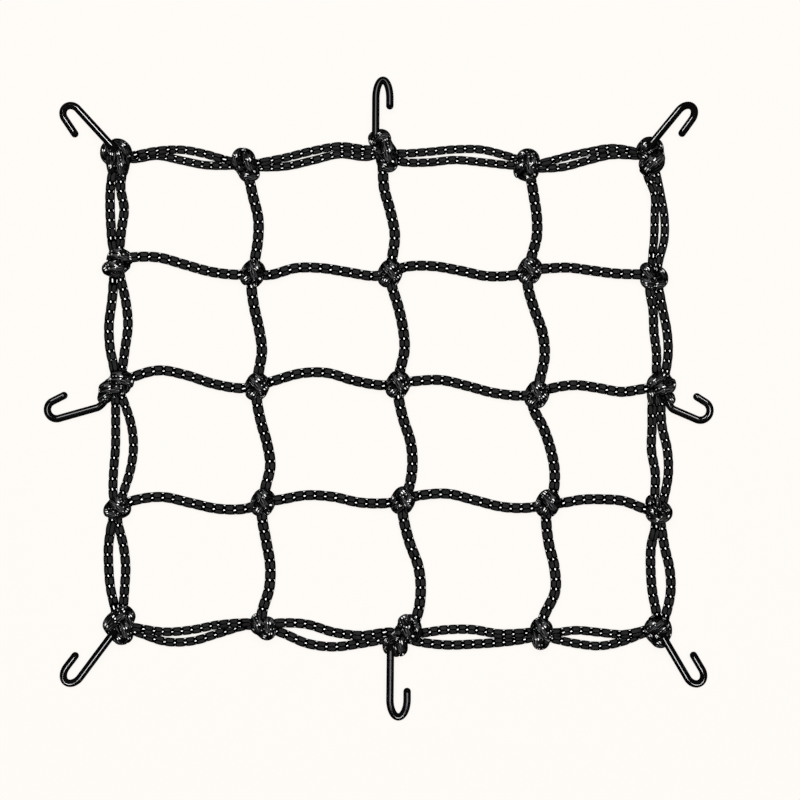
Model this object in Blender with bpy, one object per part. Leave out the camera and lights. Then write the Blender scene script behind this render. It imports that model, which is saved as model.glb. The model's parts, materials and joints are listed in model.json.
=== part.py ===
"""Small elastic cargo net, laid flat and seen from above.

Five rows (a at the top, e at the bottom) of five knots (1 at the left, 5 at the
right) tied in 5 mm shock cord.  The border is a doubled cord from knot to knot,
the mesh inside is single cord, and eight J hooks of plastic-coated wire hang on
the four corner knots and on the middle knot of each side.

Frame: metres, +Z up, z = 0 is the surface the net lies on, +X along the longer
side, +Y towards row a.  The origin is the middle of the whole outline.
"""

import math
from collections import namedtuple

import bmesh
import bpy
from mathutils import Vector
from mathutils.bvhtree import BVHTree

MM = 0.001

# ------------------------------------------------------------------ sizes
CROSS_CORD = 5.1 * MM  # diameter of the crosswise mesh cords
LENGTH_CORD = 5.4 * MM  # diameter of the lengthwise mesh cords
WIRE = 3.75 * MM  # coated hook wire
GAP = 0.3 * MM  # clearance between pieces that touch
END_EASE = 0.2 * MM  # more of it where a bowed cord runs up to a knot
FLAT_CUT = 0.6 * MM  # how far each knot is pressed flat on the surface
KNOT_TALL = 5.8 * MM  # half height of the largest knot lobe
KNOT_EXIT = 4.7 * MM  # height at which a mesh cord leaves a knot
SIDES = 8  # sides of a cord
STRAND_MERGE = 0.86  # border strands touch at this share of their diameter

CORD_BLACK = (0.018, 0.018, 0.020, 1.0)
HOOK_BLACK = (0.010, 0.010, 0.012, 1.0)

# ------------------------------------------------------------------ tables, mm
Knot = namedtuple("Knot", "name x y")
KNOTS = [
    Knot("a1", -130.25, 121.75),
    Knot("a2", -67.75, 117.75),
    Knot("a3", 2.25, 124.25),
    Knot("a4", 73.75, 116.75),
    Knot("a5", 135.75, 120.25),
    Knot("b1", -131.25, 68.25),
    Knot("b2", -62.75, 62.75),
    Knot("b3", 5.75, 62.75),
    Knot("b4", 75.75, 64.25),
    Knot("b5", 138.25, 61.75),
    Knot("c1", -132.25, 5.25),
    Knot("c2", -60.75, 6.25),
    Knot("c3", 9.75, 7.25),
    Knot("c4", 79.25, 2.25),
    Knot("c5", 140.75, 5.25),
    Knot("d1", -130.75, -54.75),
    Knot("d2", -57.75, -51.75),
    Knot("d3", 12.25, -50.75),
    Knot("d4", 84.75, -52.25),
    Knot("d5", 139.75, -56.75),
    Knot("e1", -129.25, -113.25),
    Knot("e2", -57.75, -114.75),
    Knot("e3", 12.75, -118.25),
    Knot("e4", 81.25, -116.75),
    Knot("e5", 139.75, -114.25),
]

# The turns of cord in a knot, as rounded lobes: offset from the knot's point,
# half widths before turning, and the turn in degrees.
Lobe = namedtuple("Lobe", "dx dy rx ry turn")
MESH_KNOT = [Lobe(0.0, 0.0, 5.9, 7.1, -25)]
LOBES = {
    "a1": [Lobe(-1.0, 1.0, 8.2, 7.5, 0), Lobe(0.0, -5.5, 5.8, 6.5, 0)],
    "a2": [Lobe(0.2, 0.8, 6.2, 7.0, 0), Lobe(2.9, -5.2, 5.6, 5.0, 0)],
    "a3": [Lobe(-2.0, 6.0, 6.0, 4.7, 0), Lobe(2.0, -3.6, 5.8, 8.0, 8)],
    "a4": [Lobe(1.0, 2.0, 6.2, 6.5, 0), Lobe(0.1, -2.5, 6.6, 6.1, 0)],
    "a5": [Lobe(0.0, 4.0, 7.0, 6.8, 0), Lobe(0.9, -2.4, 7.3, 6.4, 25)],
    "b1": [Lobe(1.9, 1.1, 6.6, 6.0, 0), Lobe(-1.2, -3.1, 6.0, 4.7, 0)],
    "b5": [Lobe(-0.5, -1.7, 7.1, 6.4, 0), Lobe(-4.0, 2.5, 3.9, 4.1, 0)],
    "c1": [Lobe(3.8, 3.3, 6.2, 6.5, 0), Lobe(-1.1, 0.0, 6.7, 4.8, 0), Lobe(-4.6, -4.6, 3.9, 3.6, 0)],
    "c5": [Lobe(0.6, 1.8, 7.4, 6.2, 0), Lobe(-2.5, -3.5, 4.2, 5.2, 0), Lobe(5.0, -5.0, 3.0, 3.6, 0)],
    "d1": [Lobe(1.0, 0.2, 6.2, 5.6, 0), Lobe(-2.4, -1.2, 4.6, 4.6, 0)],
    "d5": [Lobe(0.5, -0.2, 6.8, 5.8, 0), Lobe(-3.0, 4.5, 3.4, 4.2, 0)],
    "e1": [Lobe(-0.5, 2.5, 9.0, 6.0, 35), Lobe(0.5, -4.5, 6.2, 5.5, 0)],
    "e2": [Lobe(-2.5, 2.0, 4.2, 5.5, 0), Lobe(1.8, -0.2, 5.0, 6.0, 0)],
    "e3": [Lobe(2.2, 3.2, 6.2, 7.2, 0), Lobe(-4.2, -5.2, 6.6, 6.0, 0)],
    "e4": [Lobe(0.5, 1.2, 6.0, 6.2, 0), Lobe(-0.2, -3.2, 5.0, 5.8, 0)],
    "e5": [Lobe(0.0, -1.5, 7.0, 7.5, 0), Lobe(1.0, -7.0, 4.5, 4.0, 0)],
}

# How far a run stands off the straight line between its knots at five places
# along it (see BOW_AT): up for a crosswise run, right for a lengthwise one.
BOW_AT = (0.12, 0.31, 0.50, 0.69, 0.88)
Bow = namedtuple("Bow", "start rise middle fall end")
CROSS_RUNS = {
    "b1_b2": Bow(3.0, 4.0, 1.5, -1.0, -1.5),
    "b2_b3": Bow(-1.0, 2.5, 2.5, 0.5, -1.5),
    "b3_b4": Bow(3.0, 3.0, 0.5, -2.5, -2.5),
    "b4_b5": Bow(1.0, 2.0, 1.0, 0.0, 0.0),
    "c1_c2": Bow(5.0, 8.5, 6.0, 1.5, -1.0),
    "c2_c3": Bow(2.5, 6.0, 6.0, 2.0, -0.5),
    "c3_c4": Bow(2.0, 3.5, 1.5, -1.0, -1.5),
    "c4_c5": Bow(2.5, 3.5, 1.5, -1.0, 0.0),
    "d1_d2": Bow(3.5, 4.5, 1.0, -2.5, -3.0),
    "d2_d3": Bow(1.0, 3.0, 2.0, -1.0, -1.5),
    "d3_d4": Bow(2.5, 3.5, 0.5, -2.5, -2.5),
    "d4_d5": Bow(0.5, 3.0, 4.0, 4.0, 1.0),
}
LENGTH_RUNS = {
    "a2_b2": Bow(2.0, 3.5, 5.0, 4.0, 1.5),
    "b2_c2": Bow(-1.0, 0.0, 2.0, 3.0, 1.0),
    "c2_d2": Bow(-0.5, 1.0, 3.5, 4.5, 1.5),
    "d2_e2": Bow(-0.5, 1.5, 3.5, 3.0, -0.5),
    "a3_b3": Bow(-0.5, -0.5, 2.0, 3.5, 1.5),
    "b3_c3": Bow(0.5, 3.0, 4.5, 4.5, 1.5),
    "c3_d3": Bow(0.0, 2.0, 5.0, 5.5, 3.5),
    "d3_e3": Bow(0.0, 3.0, 7.5, 8.5, 6.0),
    "a4_b4": Bow(2.0, 3.5, 4.5, 4.0, 1.0),
    "b4_c4": Bow(-1.5, 1.0, 4.5, 5.0, 2.0),
    "c4_d4": Bow(-2.5, 1.5, 4.0, 5.0, 3.5),
    "d4_e4": Bow(-0.5, 1.5, 5.0, 6.0, 1.0),
}
# The same for the two strands of each border run: the upper or left strand,
# then the lower or right one, and the diameter to which the cord is drawn there.
Pair = namedtuple("Pair", "one two cord")
BORDER_RUNS = {
    "a1_a2": Pair(Bow(0.3, 3.2, 4.8, 3.5, 0.8), Bow(-1.4, 1.0, -0.5, -2.1, -1.7), 4.3),
    "a2_a3": Pair(Bow(-0.6, 1.0, 3.1, 4.0, 1.2), Bow(-2.8, -3.5, -1.8, 0.0, -2.6), 4.2),
    "a3_a4": Pair(Bow(-0.7, 1.5, 4.2, 5.5, 3.5), Bow(-4.8, -3.8, -1.1, -0.8, -0.9), 4.25),
    "a4_a5": Pair(Bow(0.5, 3.0, 5.0, 6.1, 3.7), Bow(-2.1, -1.9, 0.6, 2.6, 1.7), 4.15),
    "e1_e2": Pair(Bow(-1.2, -3.1, -1.8, 1.1, 2.5), Bow(-3.7, -7.9, -7.5, -3.3, 0.8), 4.4),
    "e2_e3": Pair(Bow(2.8, 2.8, -0.5, -1.4, 0.9), Bow(-1.8, -6.7, -7.8, -5.5, -2.5), 4.8),
    "e3_e4": Pair(Bow(0.6, 2.0, 1.8, -0.5, -0.3), Bow(-3.9, -5.6, -5.5, -4.9, -3.5), 4.75),
    "e4_e5": Pair(Bow(-0.7, -0.1, -1.6, -3.0, -1.4), Bow(-4.0, -6.8, -8.4, -6.8, -3.0), 4.45),
    "a1_b1": Pair(Bow(-2.0, -3.6, -3.6, -2.9, -1.5), Bow(2.0, 1.5, 3.4, 2.3, 1.4), 4.9),
    "b1_c1": Pair(Bow(-0.9, -1.9, -3.2, -2.4, 0.3), Bow(2.2, 5.0, 6.3, 5.0, 3.5), 4.9),
    "c1_d1": Pair(Bow(0.4, 0.2, -0.2, -1.4, -1.9), Bow(4.7, 8.0, 8.8, 6.9, 3.1), 4.65),
    "d1_e1": Pair(Bow(-2.6, -4.8, -5.1, -4.4, -2.1), Bow(0.0, 2.4, 3.4, 2.6, 1.5), 4.85),
    "a5_b5": Pair(Bow(-1.8, 1.5, 1.3, 0.5, -1.0), Bow(2.8, 4.7, 6.1, 5.6, 2.4), 4.35),
    "b5_c5": Pair(Bow(-2.8, -1.6, -1.6, -0.8, -1.3), Bow(1.7, 3.3, 4.9, 5.0, 3.0), 4.8),
    "c5_d5": Pair(Bow(-3.6, -3.5, -3.6, -1.5, -1.5), Bow(0.6, 1.5, 4.3, 5.0, 3.1), 4.8),
    "d5_e5": Pair(Bow(-1.1, -3.3, -3.5, -2.7, -0.7), Bow(1.7, 3.5, 6.0, 6.5, 4.3), 5.0),
}

# Hooks: where the straight shank begins, its heading, its length, the crown's
# half width across and rise along the heading, its sweep, the tip leg, the side it
# bends to (1 left, -1 right of the heading), and the hidden leg back into the knot.
Hook = namedtuple("Hook", "knot x y heading shank radius rise sweep tip side root_turn root")
HOOKS = [
    Hook("a1", -137.2, 130.5, 132.7, 19.7, 4.1, 4.8, 170, 9.3, 1, 0, 8.5),
    Hook("a3", -1.4, 135.9, 89.7, 14.2, 3.5, 9.3, 180, 3.7, -1, 0, 7.0),
    Hook("a5", 138.9, 130.4, 50.5, 17.9, 4.0, 5.8, 175, 8.5, -1, 0, 6.2),
    Hook("c1", -138.6, -4.0, -164.4, 22.2, 4.6, 4.6, 169, 6.5, -1, 42, 5.0),
    Hook("c5", 145.6, -4.7, -23.0, 14.8, 4.85, 4.85, 171, 5.2, 1, -48, 5.0),
    Hook("e1", -136.8, -123.0, -127.0, 20.7, 4.3, 6.3, 181, 7.1, -1, 0, 8.5),
    Hook("e3", 5.9, -132.3, -90.6, 18.3, 4.3, 8.8, 181, 4.0, 1, 0, 9.0),
    Hook("e5", 145.7, -125.0, -59.2, 17.4, 4.2, 5.4, 180, 8.4, 1, 0, 9.4),
]
ROOT_HEIGHT = 5.0 * MM  # height of a bent wire inside its knot
CREST_HEIGHT = 8.6 * MM  # height of a straight one, which lies over the knot's lower turns

# ------------------------------------------------------------------ helpers
PLACE = {k.name: Vector((k.x * MM, k.y * MM, 0.0)) for k in KNOTS}


def clear_scene():
    for thing in list(bpy.data.objects):
        bpy.data.objects.remove(thing, do_unlink=True)


def material(name, colour, rough):
    mat = bpy.data.materials.new(name)
    mat.use_nodes = True
    shader = mat.node_tree.nodes["Principled BSDF"]
    shader.inputs["Base Color"].default_value = colour
    shader.inputs["Roughness"].default_value = rough
    shader.inputs["Metallic"].default_value = 0.0
    mat.diffuse_color = colour
    return mat


def new_object(name, bm):
    bmesh.ops.recalc_face_normals(bm, faces=bm.faces)
    mesh = bpy.data.meshes.new(name)
    bm.to_mesh(mesh)
    bm.free()
    thing = bpy.data.objects.new(name, mesh)
    bpy.context.scene.collection.objects.link(thing)
    return thing


def combine(target, other, operation):
    """Union with, or cut by, another closed object, which is used up."""
    mod = target.modifiers.new("combine", "BOOLEAN")
    mod.operation = operation
    mod.solver = "EXACT"
    mod.object = other
    graph = bpy.context.evaluated_depsgraph_get()
    mesh = bpy.data.meshes.new_from_object(target.evaluated_get(graph))
    target.modifiers.remove(mod)
    target.data = mesh
    bpy.data.objects.remove(other, do_unlink=True)
    bpy.context.view_layer.update()


def finish(thing, name, colour, rough):
    """Tidy the mesh, shade it smooth with crisp ends, and give it its material."""
    bm = bmesh.new()
    bm.from_mesh(thing.data)
    bmesh.ops.remove_doubles(bm, verts=bm.verts, dist=0.000001)
    bmesh.ops.triangulate(bm, faces=bm.faces)
    bm.to_mesh(thing.data)
    bm.free()
    thing.name = name
    thing.data.name = name
    thing.data.shade_smooth()
    thing.data.set_sharp_from_angle(angle=math.radians(50))
    thing.data.materials.clear()
    thing.data.materials.append(material(name, colour, rough))
    return thing


def surface_of(thing):
    bm = bmesh.new()
    bm.from_mesh(thing.data)
    tree = BVHTree.FromBMesh(bm)
    bm.free()
    return tree


def hermite(at, values, t):
    """A smooth curve through values given at rising places."""
    last = len(at) - 1

    def slope(i):
        lo, hi = max(i - 1, 0), min(i + 1, last)
        return (values[hi] - values[lo]) / (at[hi] - at[lo])

    i = 0
    while i < last - 1 and t > at[i + 1]:
        i += 1
    width = at[i + 1] - at[i]
    u = min(max((t - at[i]) / width, 0.0), 1.0)
    return (
        values[i] * (2 * u**3 - 3 * u**2 + 1)
        + slope(i) * width * (u**3 - 2 * u**2 + u)
        + values[i + 1] * (3 * u**2 - 2 * u**3)
        + slope(i + 1) * width * (u**3 - u**2)
    )


def near_knot(t, reach=0.42):
    """1 at a knot, 0 once the cord has come down to the surface."""
    x = 1.0 - min(t, 1.0 - t) / reach
    return 0.0 if x <= 0 else x * x * (3 - 2 * x)


def run_point(run, bow, t, end_share=0.0):
    """Plan position along a run between two named knots."""
    first, second = run.split("_")
    a, b = PLACE[first], PLACE[second]
    crosswise = first[0] == second[0]
    values = [bow[0] * end_share, *bow, bow[-1] * end_share]
    off = hermite((0.0, *BOW_AT, 1.0), values, t) * MM
    p = a.lerp(b, t)
    return p + (Vector((0, off, 0)) if crosswise else Vector((off, 0, 0)))


def ring(centre, along, radius, sides=SIDES):
    """Corners of one cord section, with a flat facing down."""
    side = along.cross(Vector((0, 0, 1))).normalized()
    up = side.cross(along).normalized()
    reach = radius / math.cos(math.pi / sides)
    return [
        centre
        + side * (reach * math.cos(2 * math.pi * (k + 0.5) / sides))
        + up * (reach * math.sin(2 * math.pi * (k + 0.5) / sides))
        for k in range(sides)
    ]


def heading_at(point_at, t):
    return (point_at(t + 0.004) - point_at(t - 0.004)).normalized()


def tube(name, points, radius, sides=SIDES, round_tip=False, headings=None):
    """A closed tube along points, flat at its ends or domed at the last one."""
    rings = []
    for i, p in enumerate(points):
        before = points[max(i - 1, 0)]
        after = points[min(i + 1, len(points) - 1)]
        along = headings[i] if headings else (after - before).normalized()
        rings.append(ring(p, along, radius, sides))
    tail = None
    if round_tip:
        along = (points[-1] - points[-2]).normalized()
        for turn in (35, 65):
            rings.append(
                ring(points[-1] + along * radius * math.sin(math.radians(turn)), along, radius * math.cos(math.radians(turn)), sides)
            )
        tail = points[-1] + along * radius
    bm = bmesh.new()
    loops = [[bm.verts.new(v) for v in r] for r in rings]
    for lower, upper in zip(loops, loops[1:]):
        for k in range(sides):
            n = (k + 1) % sides
            bm.faces.new((lower[k], lower[n], upper[n], upper[k]))
    bm.faces.new(loops[0])
    if tail is None:
        bm.faces.new(loops[-1])
    else:
        apex = bm.verts.new(tail)
        for k in range(sides):
            bm.faces.new((loops[-1][k], loops[-1][(k + 1) % sides], apex))
    return new_object(name, bm)


def lobe_solid(name, centre, lobe):
    """One rounded lobe of a knot, standing a little into the surface."""
    tall = min(max(min(lobe.rx, lobe.ry) * MM, 3.2 * MM), KNOT_TALL)
    bm = bmesh.new()
    bmesh.ops.create_uvsphere(bm, u_segments=SIDES, v_segments=5, radius=1.0)
    turn = math.radians(lobe.turn)
    stretch = 1.04  # a faceted lobe as wide as the round one
    for v in bm.verts:
        x, y = v.co.x * lobe.rx * MM * stretch, v.co.y * lobe.ry * MM * stretch
        v.co = Vector(
            (
                centre.x + lobe.dx * MM + x * math.cos(turn) - y * math.sin(turn),
                centre.y + lobe.dy * MM + x * math.sin(turn) + y * math.cos(turn),
                tall - FLAT_CUT + v.co.z * tall,
            )
        )
    return new_object(name, bm)


def flatten(thing):
    """Cut away what stands below the surface, which leaves flat feet."""
    bm = bmesh.new()
    bmesh.ops.create_cube(bm, size=1.0)
    for v in bm.verts:
        v.co = Vector((v.co.x, v.co.y, v.co.z * 0.02 - 0.01))
    combine(thing, new_object("below", bm), "DIFFERENCE")


def knot_solid(name, lobes):
    centre = PLACE[name]
    knot = lobe_solid("knot_" + name, centre, lobes[0])
    for i, lobe in enumerate(lobes[1:]):
        combine(knot, lobe_solid("lobe%d" % i, centre, lobe), "UNION")
    flatten(knot)
    return knot


def hook_path(hook):
    """Centreline from the root inside the knot to the tip."""
    heading = math.radians(hook.heading)
    out = Vector((math.cos(heading), math.sin(heading), 0))
    left = Vector((-out.y, out.x, 0)) * hook.side
    start = Vector((hook.x * MM, hook.y * MM, 0))
    back = math.radians(hook.heading + 180 + hook.root_turn)
    root = start + Vector((math.cos(back), math.sin(back), 0)) * hook.root * MM
    points = [root]
    if hook.root_turn:
        points += [root.lerp(start, 0.7), start + out * 0.8 * MM]
    else:
        points += [root.lerp(start, 0.5), start]
    for share in (0.34, 0.67, 1.0):
        points.append(start + out * hook.shank * MM * share)
    centre = points[-1] + left * hook.radius * MM
    steps = 8
    for k in range(1, steps + 1):
        a = math.radians(hook.sweep) * k / steps
        points.append(centre - left * hook.radius * MM * math.cos(a) + out * hook.rise * MM * math.sin(a))
    a = math.radians(hook.sweep)
    away = (out * hook.rise * math.cos(a) + left * hook.radius * math.sin(a)).normalized()
    points.append(points[-1] + away * hook.tip * MM * 0.5)
    points.append(points[-1] + away * hook.tip * MM * 0.5)
    low = WIRE / 2 + 0.05 * MM
    high = ROOT_HEIGHT if hook.root_turn else CREST_HEIGHT
    far = max((p - root).dot(out) for p in points)
    for p in points:
        share = max((p - root).dot(out), 0.0) / far
        p.z = low + (high - low) * (1.0 - share)
    return points


def trimmed(point_at, trees, radius, start, stop):
    """The place nearest to stop where a cord end still clears the knot."""
    t = start
    step = (stop - start) / 400
    while (stop - t) * step > 0:
        p = point_at(t + step)
        along = heading_at(point_at, t + step)
        spots = [p] + ring(p, along, radius) + ring(p, along, radius * 0.5)
        if any(tree.find_nearest(s)[3] < GAP + END_EASE for tree in trees for s in spots):
            break
        t += step
    return t


def stations_of(point_at, places):
    """Points and headings of a cord at places along its run."""
    return [point_at(t) for t in places], [heading_at(point_at, t) for t in places]


# ------------------------------------------------------------------ build
clear_scene()

hook_points = {h.knot: hook_path(h) for h in HOOKS}
hook_objects = {}
for hook in HOOKS:
    wire = tube("hook", hook_points[hook.knot], WIRE / 2, 8, round_tip=True)
    hook_objects[hook.knot] = finish(wire, "hook_" + hook.knot, HOOK_BLACK, 0.25)

# Border knots, each with a socket round the root of its hook.
knot_objects = {}
for name, lobes in LOBES.items():
    knot = knot_solid(name, lobes)
    if name in hook_points:
        path = hook_points[name]
        back = (path[0] - path[1]).normalized() * (GAP * 1.2)
        bore = tube("bore", [path[0] + back] + [p.copy() for p in path[1:5]], WIRE / 2 / math.cos(math.pi / 8) + GAP * 1.05, 10)
        combine(knot, bore, "DIFFERENCE")
    knot_objects[name] = finish(knot, "knot_" + name, CORD_BLACK, 0.7)

# Lengthwise mesh cords with their three knots tied in.
length_objects = {}
for column in "234":
    rows = "abcde"

    def cord_at(s, column=column):
        i = min(int(s), 3)
        run = "%s%s_%s%s" % (rows[i], column, rows[i + 1], column)
        p = run_point(run, LENGTH_RUNS[run], s - i)
        rest = LENGTH_CORD / 2 + 0.05 * MM
        p.z = rest + (KNOT_EXIT - rest) * near_knot(s - i)
        return p

    begin = trimmed(cord_at, [surface_of(knot_objects["a" + column])], LENGTH_CORD / 2, 0.5, 0.0)
    close = trimmed(cord_at, [surface_of(knot_objects["e" + column])], LENGTH_CORD / 2, 3.5, 4.0)
    stations = [begin]
    for i in range(4):
        for share in (0.0, 0.2, 0.4, 0.6, 0.8):
            s = i + share
            if begin + 0.06 < s < close - 0.06:
                stations.append(s)
    stations.append(close)
    points, headings = stations_of(cord_at, stations)
    cord = tube("cord", points, LENGTH_CORD / 2, headings=headings)
    for row in "bcd":
        combine(cord, knot_solid(row + column, MESH_KNOT), "UNION")
    length_objects[column] = finish(cord, "mesh_lengthwise_" + column, CORD_BLACK, 0.7)


def knot_tree(name):
    return surface_of(knot_objects[name] if name in knot_objects else length_objects[name[1]])


# Crosswise mesh cords.
for run, bow in CROSS_RUNS.items():

    def cord_at(t, run=run, bow=bow):
        p = run_point(run, bow, t)
        rest = CROSS_CORD / 2 + 0.05 * MM
        p.z = rest + (KNOT_EXIT - rest) * near_knot(t)
        return p

    first, second = run.split("_")
    begin = trimmed(cord_at, [knot_tree(first)], CROSS_CORD / 2, 0.5, 0.0)
    close = trimmed(cord_at, [knot_tree(second)], CROSS_CORD / 2, 0.5, 1.0)
    spans = 5
    points, headings = stations_of(cord_at, [begin + (close - begin) * k / spans for k in range(spans + 1)])
    cord = tube("cord", points, CROSS_CORD / 2, headings=headings)
    finish(cord, "mesh_crosswise_" + run, CORD_BLACK, 0.7)

# Border runs: two strands that meet beside each knot and part between them.
for run, pair in BORDER_RUNS.items():

    def lower_at(t, run=run, pair=pair):
        p = run_point(run, pair.two, t, 0.4)
        rest = pair.cord * MM / 2 + 0.05 * MM
        p.z = rest + 0.6 * MM * near_knot(t)
        return p

    def upper_at(t, run=run, pair=pair):
        p = run_point(run, pair.one, t, 0.4)
        under = lower_at(t)
        apart = (p.xy - under.xy).length
        lift = math.sqrt(max((pair.cord * MM * STRAND_MERGE) ** 2 - apart**2, 0.0))
        p.z = under.z + lift + 0.15 * MM
        return p

    first, second = run.split("_")
    strands = []
    for strand_at in (upper_at, lower_at):
        trees = [surface_of(hook_objects[k]) for k in (first, second) if k in hook_objects]
        begin = trimmed(strand_at, [knot_tree(first)] + trees, pair.cord * MM / 2, 0.5, 0.0)
        close = trimmed(strand_at, [knot_tree(second)] + trees, pair.cord * MM / 2, 0.5, 1.0)
        spans = 5
        points, headings = stations_of(strand_at, [begin + (close - begin) * k / spans for k in range(spans + 1)])
        strands.append(tube("strand", points, pair.cord * MM / 2, headings=headings))
    combine(strands[0], strands[1], "UNION")
    finish(strands[0], "border_" + run, CORD_BLACK, 0.7)
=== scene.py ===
"""Looks of a small elastic cargo net: braided shock cord, its knots and its wire hooks.

Every cord is a tube whose skin carries the raised plaits of its braid, laid out in
two counts that the shader reads too: u, six columns round the cord, and v, one for
each repeat along it.  Light flecks sit at whole numbers of both, charcoal plaits
half way between.  A knot is a handful of closed turns of the same cord.
"""

import json
import math
from collections import namedtuple

import bpy
import numpy as np
from mathutils import Matrix
from mathutils.bvhtree import BVHTree

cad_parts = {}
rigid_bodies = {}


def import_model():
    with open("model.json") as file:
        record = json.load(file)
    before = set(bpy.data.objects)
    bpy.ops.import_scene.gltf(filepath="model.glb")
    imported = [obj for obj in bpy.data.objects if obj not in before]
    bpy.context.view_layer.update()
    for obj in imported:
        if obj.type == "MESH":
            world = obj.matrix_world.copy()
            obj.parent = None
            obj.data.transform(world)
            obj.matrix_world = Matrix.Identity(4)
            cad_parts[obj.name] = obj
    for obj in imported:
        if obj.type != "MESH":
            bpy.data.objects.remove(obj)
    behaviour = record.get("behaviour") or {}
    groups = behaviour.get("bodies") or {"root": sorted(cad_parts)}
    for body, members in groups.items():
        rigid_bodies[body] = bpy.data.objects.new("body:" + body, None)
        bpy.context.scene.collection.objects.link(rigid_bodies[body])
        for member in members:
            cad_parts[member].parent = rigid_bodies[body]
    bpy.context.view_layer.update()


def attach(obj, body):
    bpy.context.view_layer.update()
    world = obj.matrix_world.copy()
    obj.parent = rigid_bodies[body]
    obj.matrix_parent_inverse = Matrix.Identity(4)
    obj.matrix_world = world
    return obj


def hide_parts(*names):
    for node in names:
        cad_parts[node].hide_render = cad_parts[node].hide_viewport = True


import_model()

MM = 0.001

# ------------------------------------------------------------------ sizes
CROSS_CORD = 5.1  # mm, as all lengths in the tables below
LENGTH_CORD = 5.4
WIRE = 3.75
KNOT_EXIT = 4.7
ROOT_HEIGHT = 5.0
CREST_HEIGHT = 8.6
PITCH = 4.9  # one repeat of the braid along the cord
COLUMNS = 6  # repeats round it
SIDES = 24  # corners of a cord's section
STEPS = 10  # sections in one repeat
PLAIT = 0.10  # how far a plait stands over the gaps between plaits
FLECK = 0.08  # and a light fleck
PAINTED_SHADE_REACH = 1.25  # how close two turns of a knot come before the gap between them gets painted shade

# ------------------------------------------------------------------ tables, mm
Knot = namedtuple("Knot", "name x y")
KNOTS = [
    Knot("a1", -130.25, 121.75),
    Knot("a2", -67.75, 117.75),
    Knot("a3", 2.25, 124.25),
    Knot("a4", 73.75, 116.75),
    Knot("a5", 135.75, 120.25),
    Knot("b1", -131.25, 68.25),
    Knot("b2", -62.75, 62.75),
    Knot("b3", 5.75, 62.75),
    Knot("b4", 75.75, 64.25),
    Knot("b5", 138.25, 61.75),
    Knot("c1", -132.25, 5.25),
    Knot("c2", -60.75, 6.25),
    Knot("c3", 9.75, 7.25),
    Knot("c4", 79.25, 2.25),
    Knot("c5", 140.75, 5.25),
    Knot("d1", -130.75, -54.75),
    Knot("d2", -57.75, -51.75),
    Knot("d3", 12.25, -50.75),
    Knot("d4", 84.75, -52.25),
    Knot("d5", 139.75, -56.75),
    Knot("e1", -129.25, -113.25),
    Knot("e2", -57.75, -114.75),
    Knot("e3", 12.75, -118.25),
    Knot("e4", 81.25, -116.75),
    Knot("e5", 139.75, -114.25),
]

# How far a run stands off the straight line between its knots at five places
# along it (see BOW_AT): up for a crosswise run, right for a lengthwise one.
BOW_AT = (0.12, 0.31, 0.50, 0.69, 0.88)
Bow = namedtuple("Bow", "start rise middle fall end")
CROSS_RUNS = {
    "b1_b2": Bow(3.0, 4.0, 1.5, -1.0, -1.5),
    "b2_b3": Bow(-1.0, 2.5, 2.5, 0.5, -1.5),
    "b3_b4": Bow(3.0, 3.0, 0.5, -2.5, -2.5),
    "b4_b5": Bow(1.0, 2.0, 1.0, 0.0, 0.0),
    "c1_c2": Bow(5.0, 8.5, 6.0, 1.5, -1.0),
    "c2_c3": Bow(2.5, 6.0, 6.0, 2.0, -0.5),
    "c3_c4": Bow(2.0, 3.5, 1.5, -1.0, -1.5),
    "c4_c5": Bow(2.5, 3.5, 1.5, -1.0, 0.0),
    "d1_d2": Bow(3.5, 4.5, 1.0, -2.5, -3.0),
    "d2_d3": Bow(1.0, 3.0, 2.0, -1.0, -1.5),
    "d3_d4": Bow(2.5, 3.5, 0.5, -2.5, -2.5),
    "d4_d5": Bow(0.5, 3.0, 4.0, 4.0, 1.0),
}
LENGTH_RUNS = {
    "a2_b2": Bow(2.0, 3.5, 5.0, 4.0, 1.5),
    "b2_c2": Bow(-1.0, 0.0, 2.0, 3.0, 1.0),
    "c2_d2": Bow(-0.5, 1.0, 3.5, 4.5, 1.5),
    "d2_e2": Bow(-0.5, 1.5, 3.5, 3.0, -0.5),
    "a3_b3": Bow(-0.5, -0.5, 2.0, 3.5, 1.5),
    "b3_c3": Bow(0.5, 3.0, 4.5, 4.5, 1.5),
    "c3_d3": Bow(0.0, 2.0, 5.0, 5.5, 3.5),
    "d3_e3": Bow(0.0, 3.0, 7.5, 8.5, 6.0),
    "a4_b4": Bow(2.0, 3.5, 4.5, 4.0, 1.0),
    "b4_c4": Bow(-1.5, 1.0, 4.5, 5.0, 2.0),
    "c4_d4": Bow(-2.5, 1.5, 4.0, 5.0, 3.5),
    "d4_e4": Bow(-0.5, 1.5, 5.0, 6.0, 1.0),
}
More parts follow.
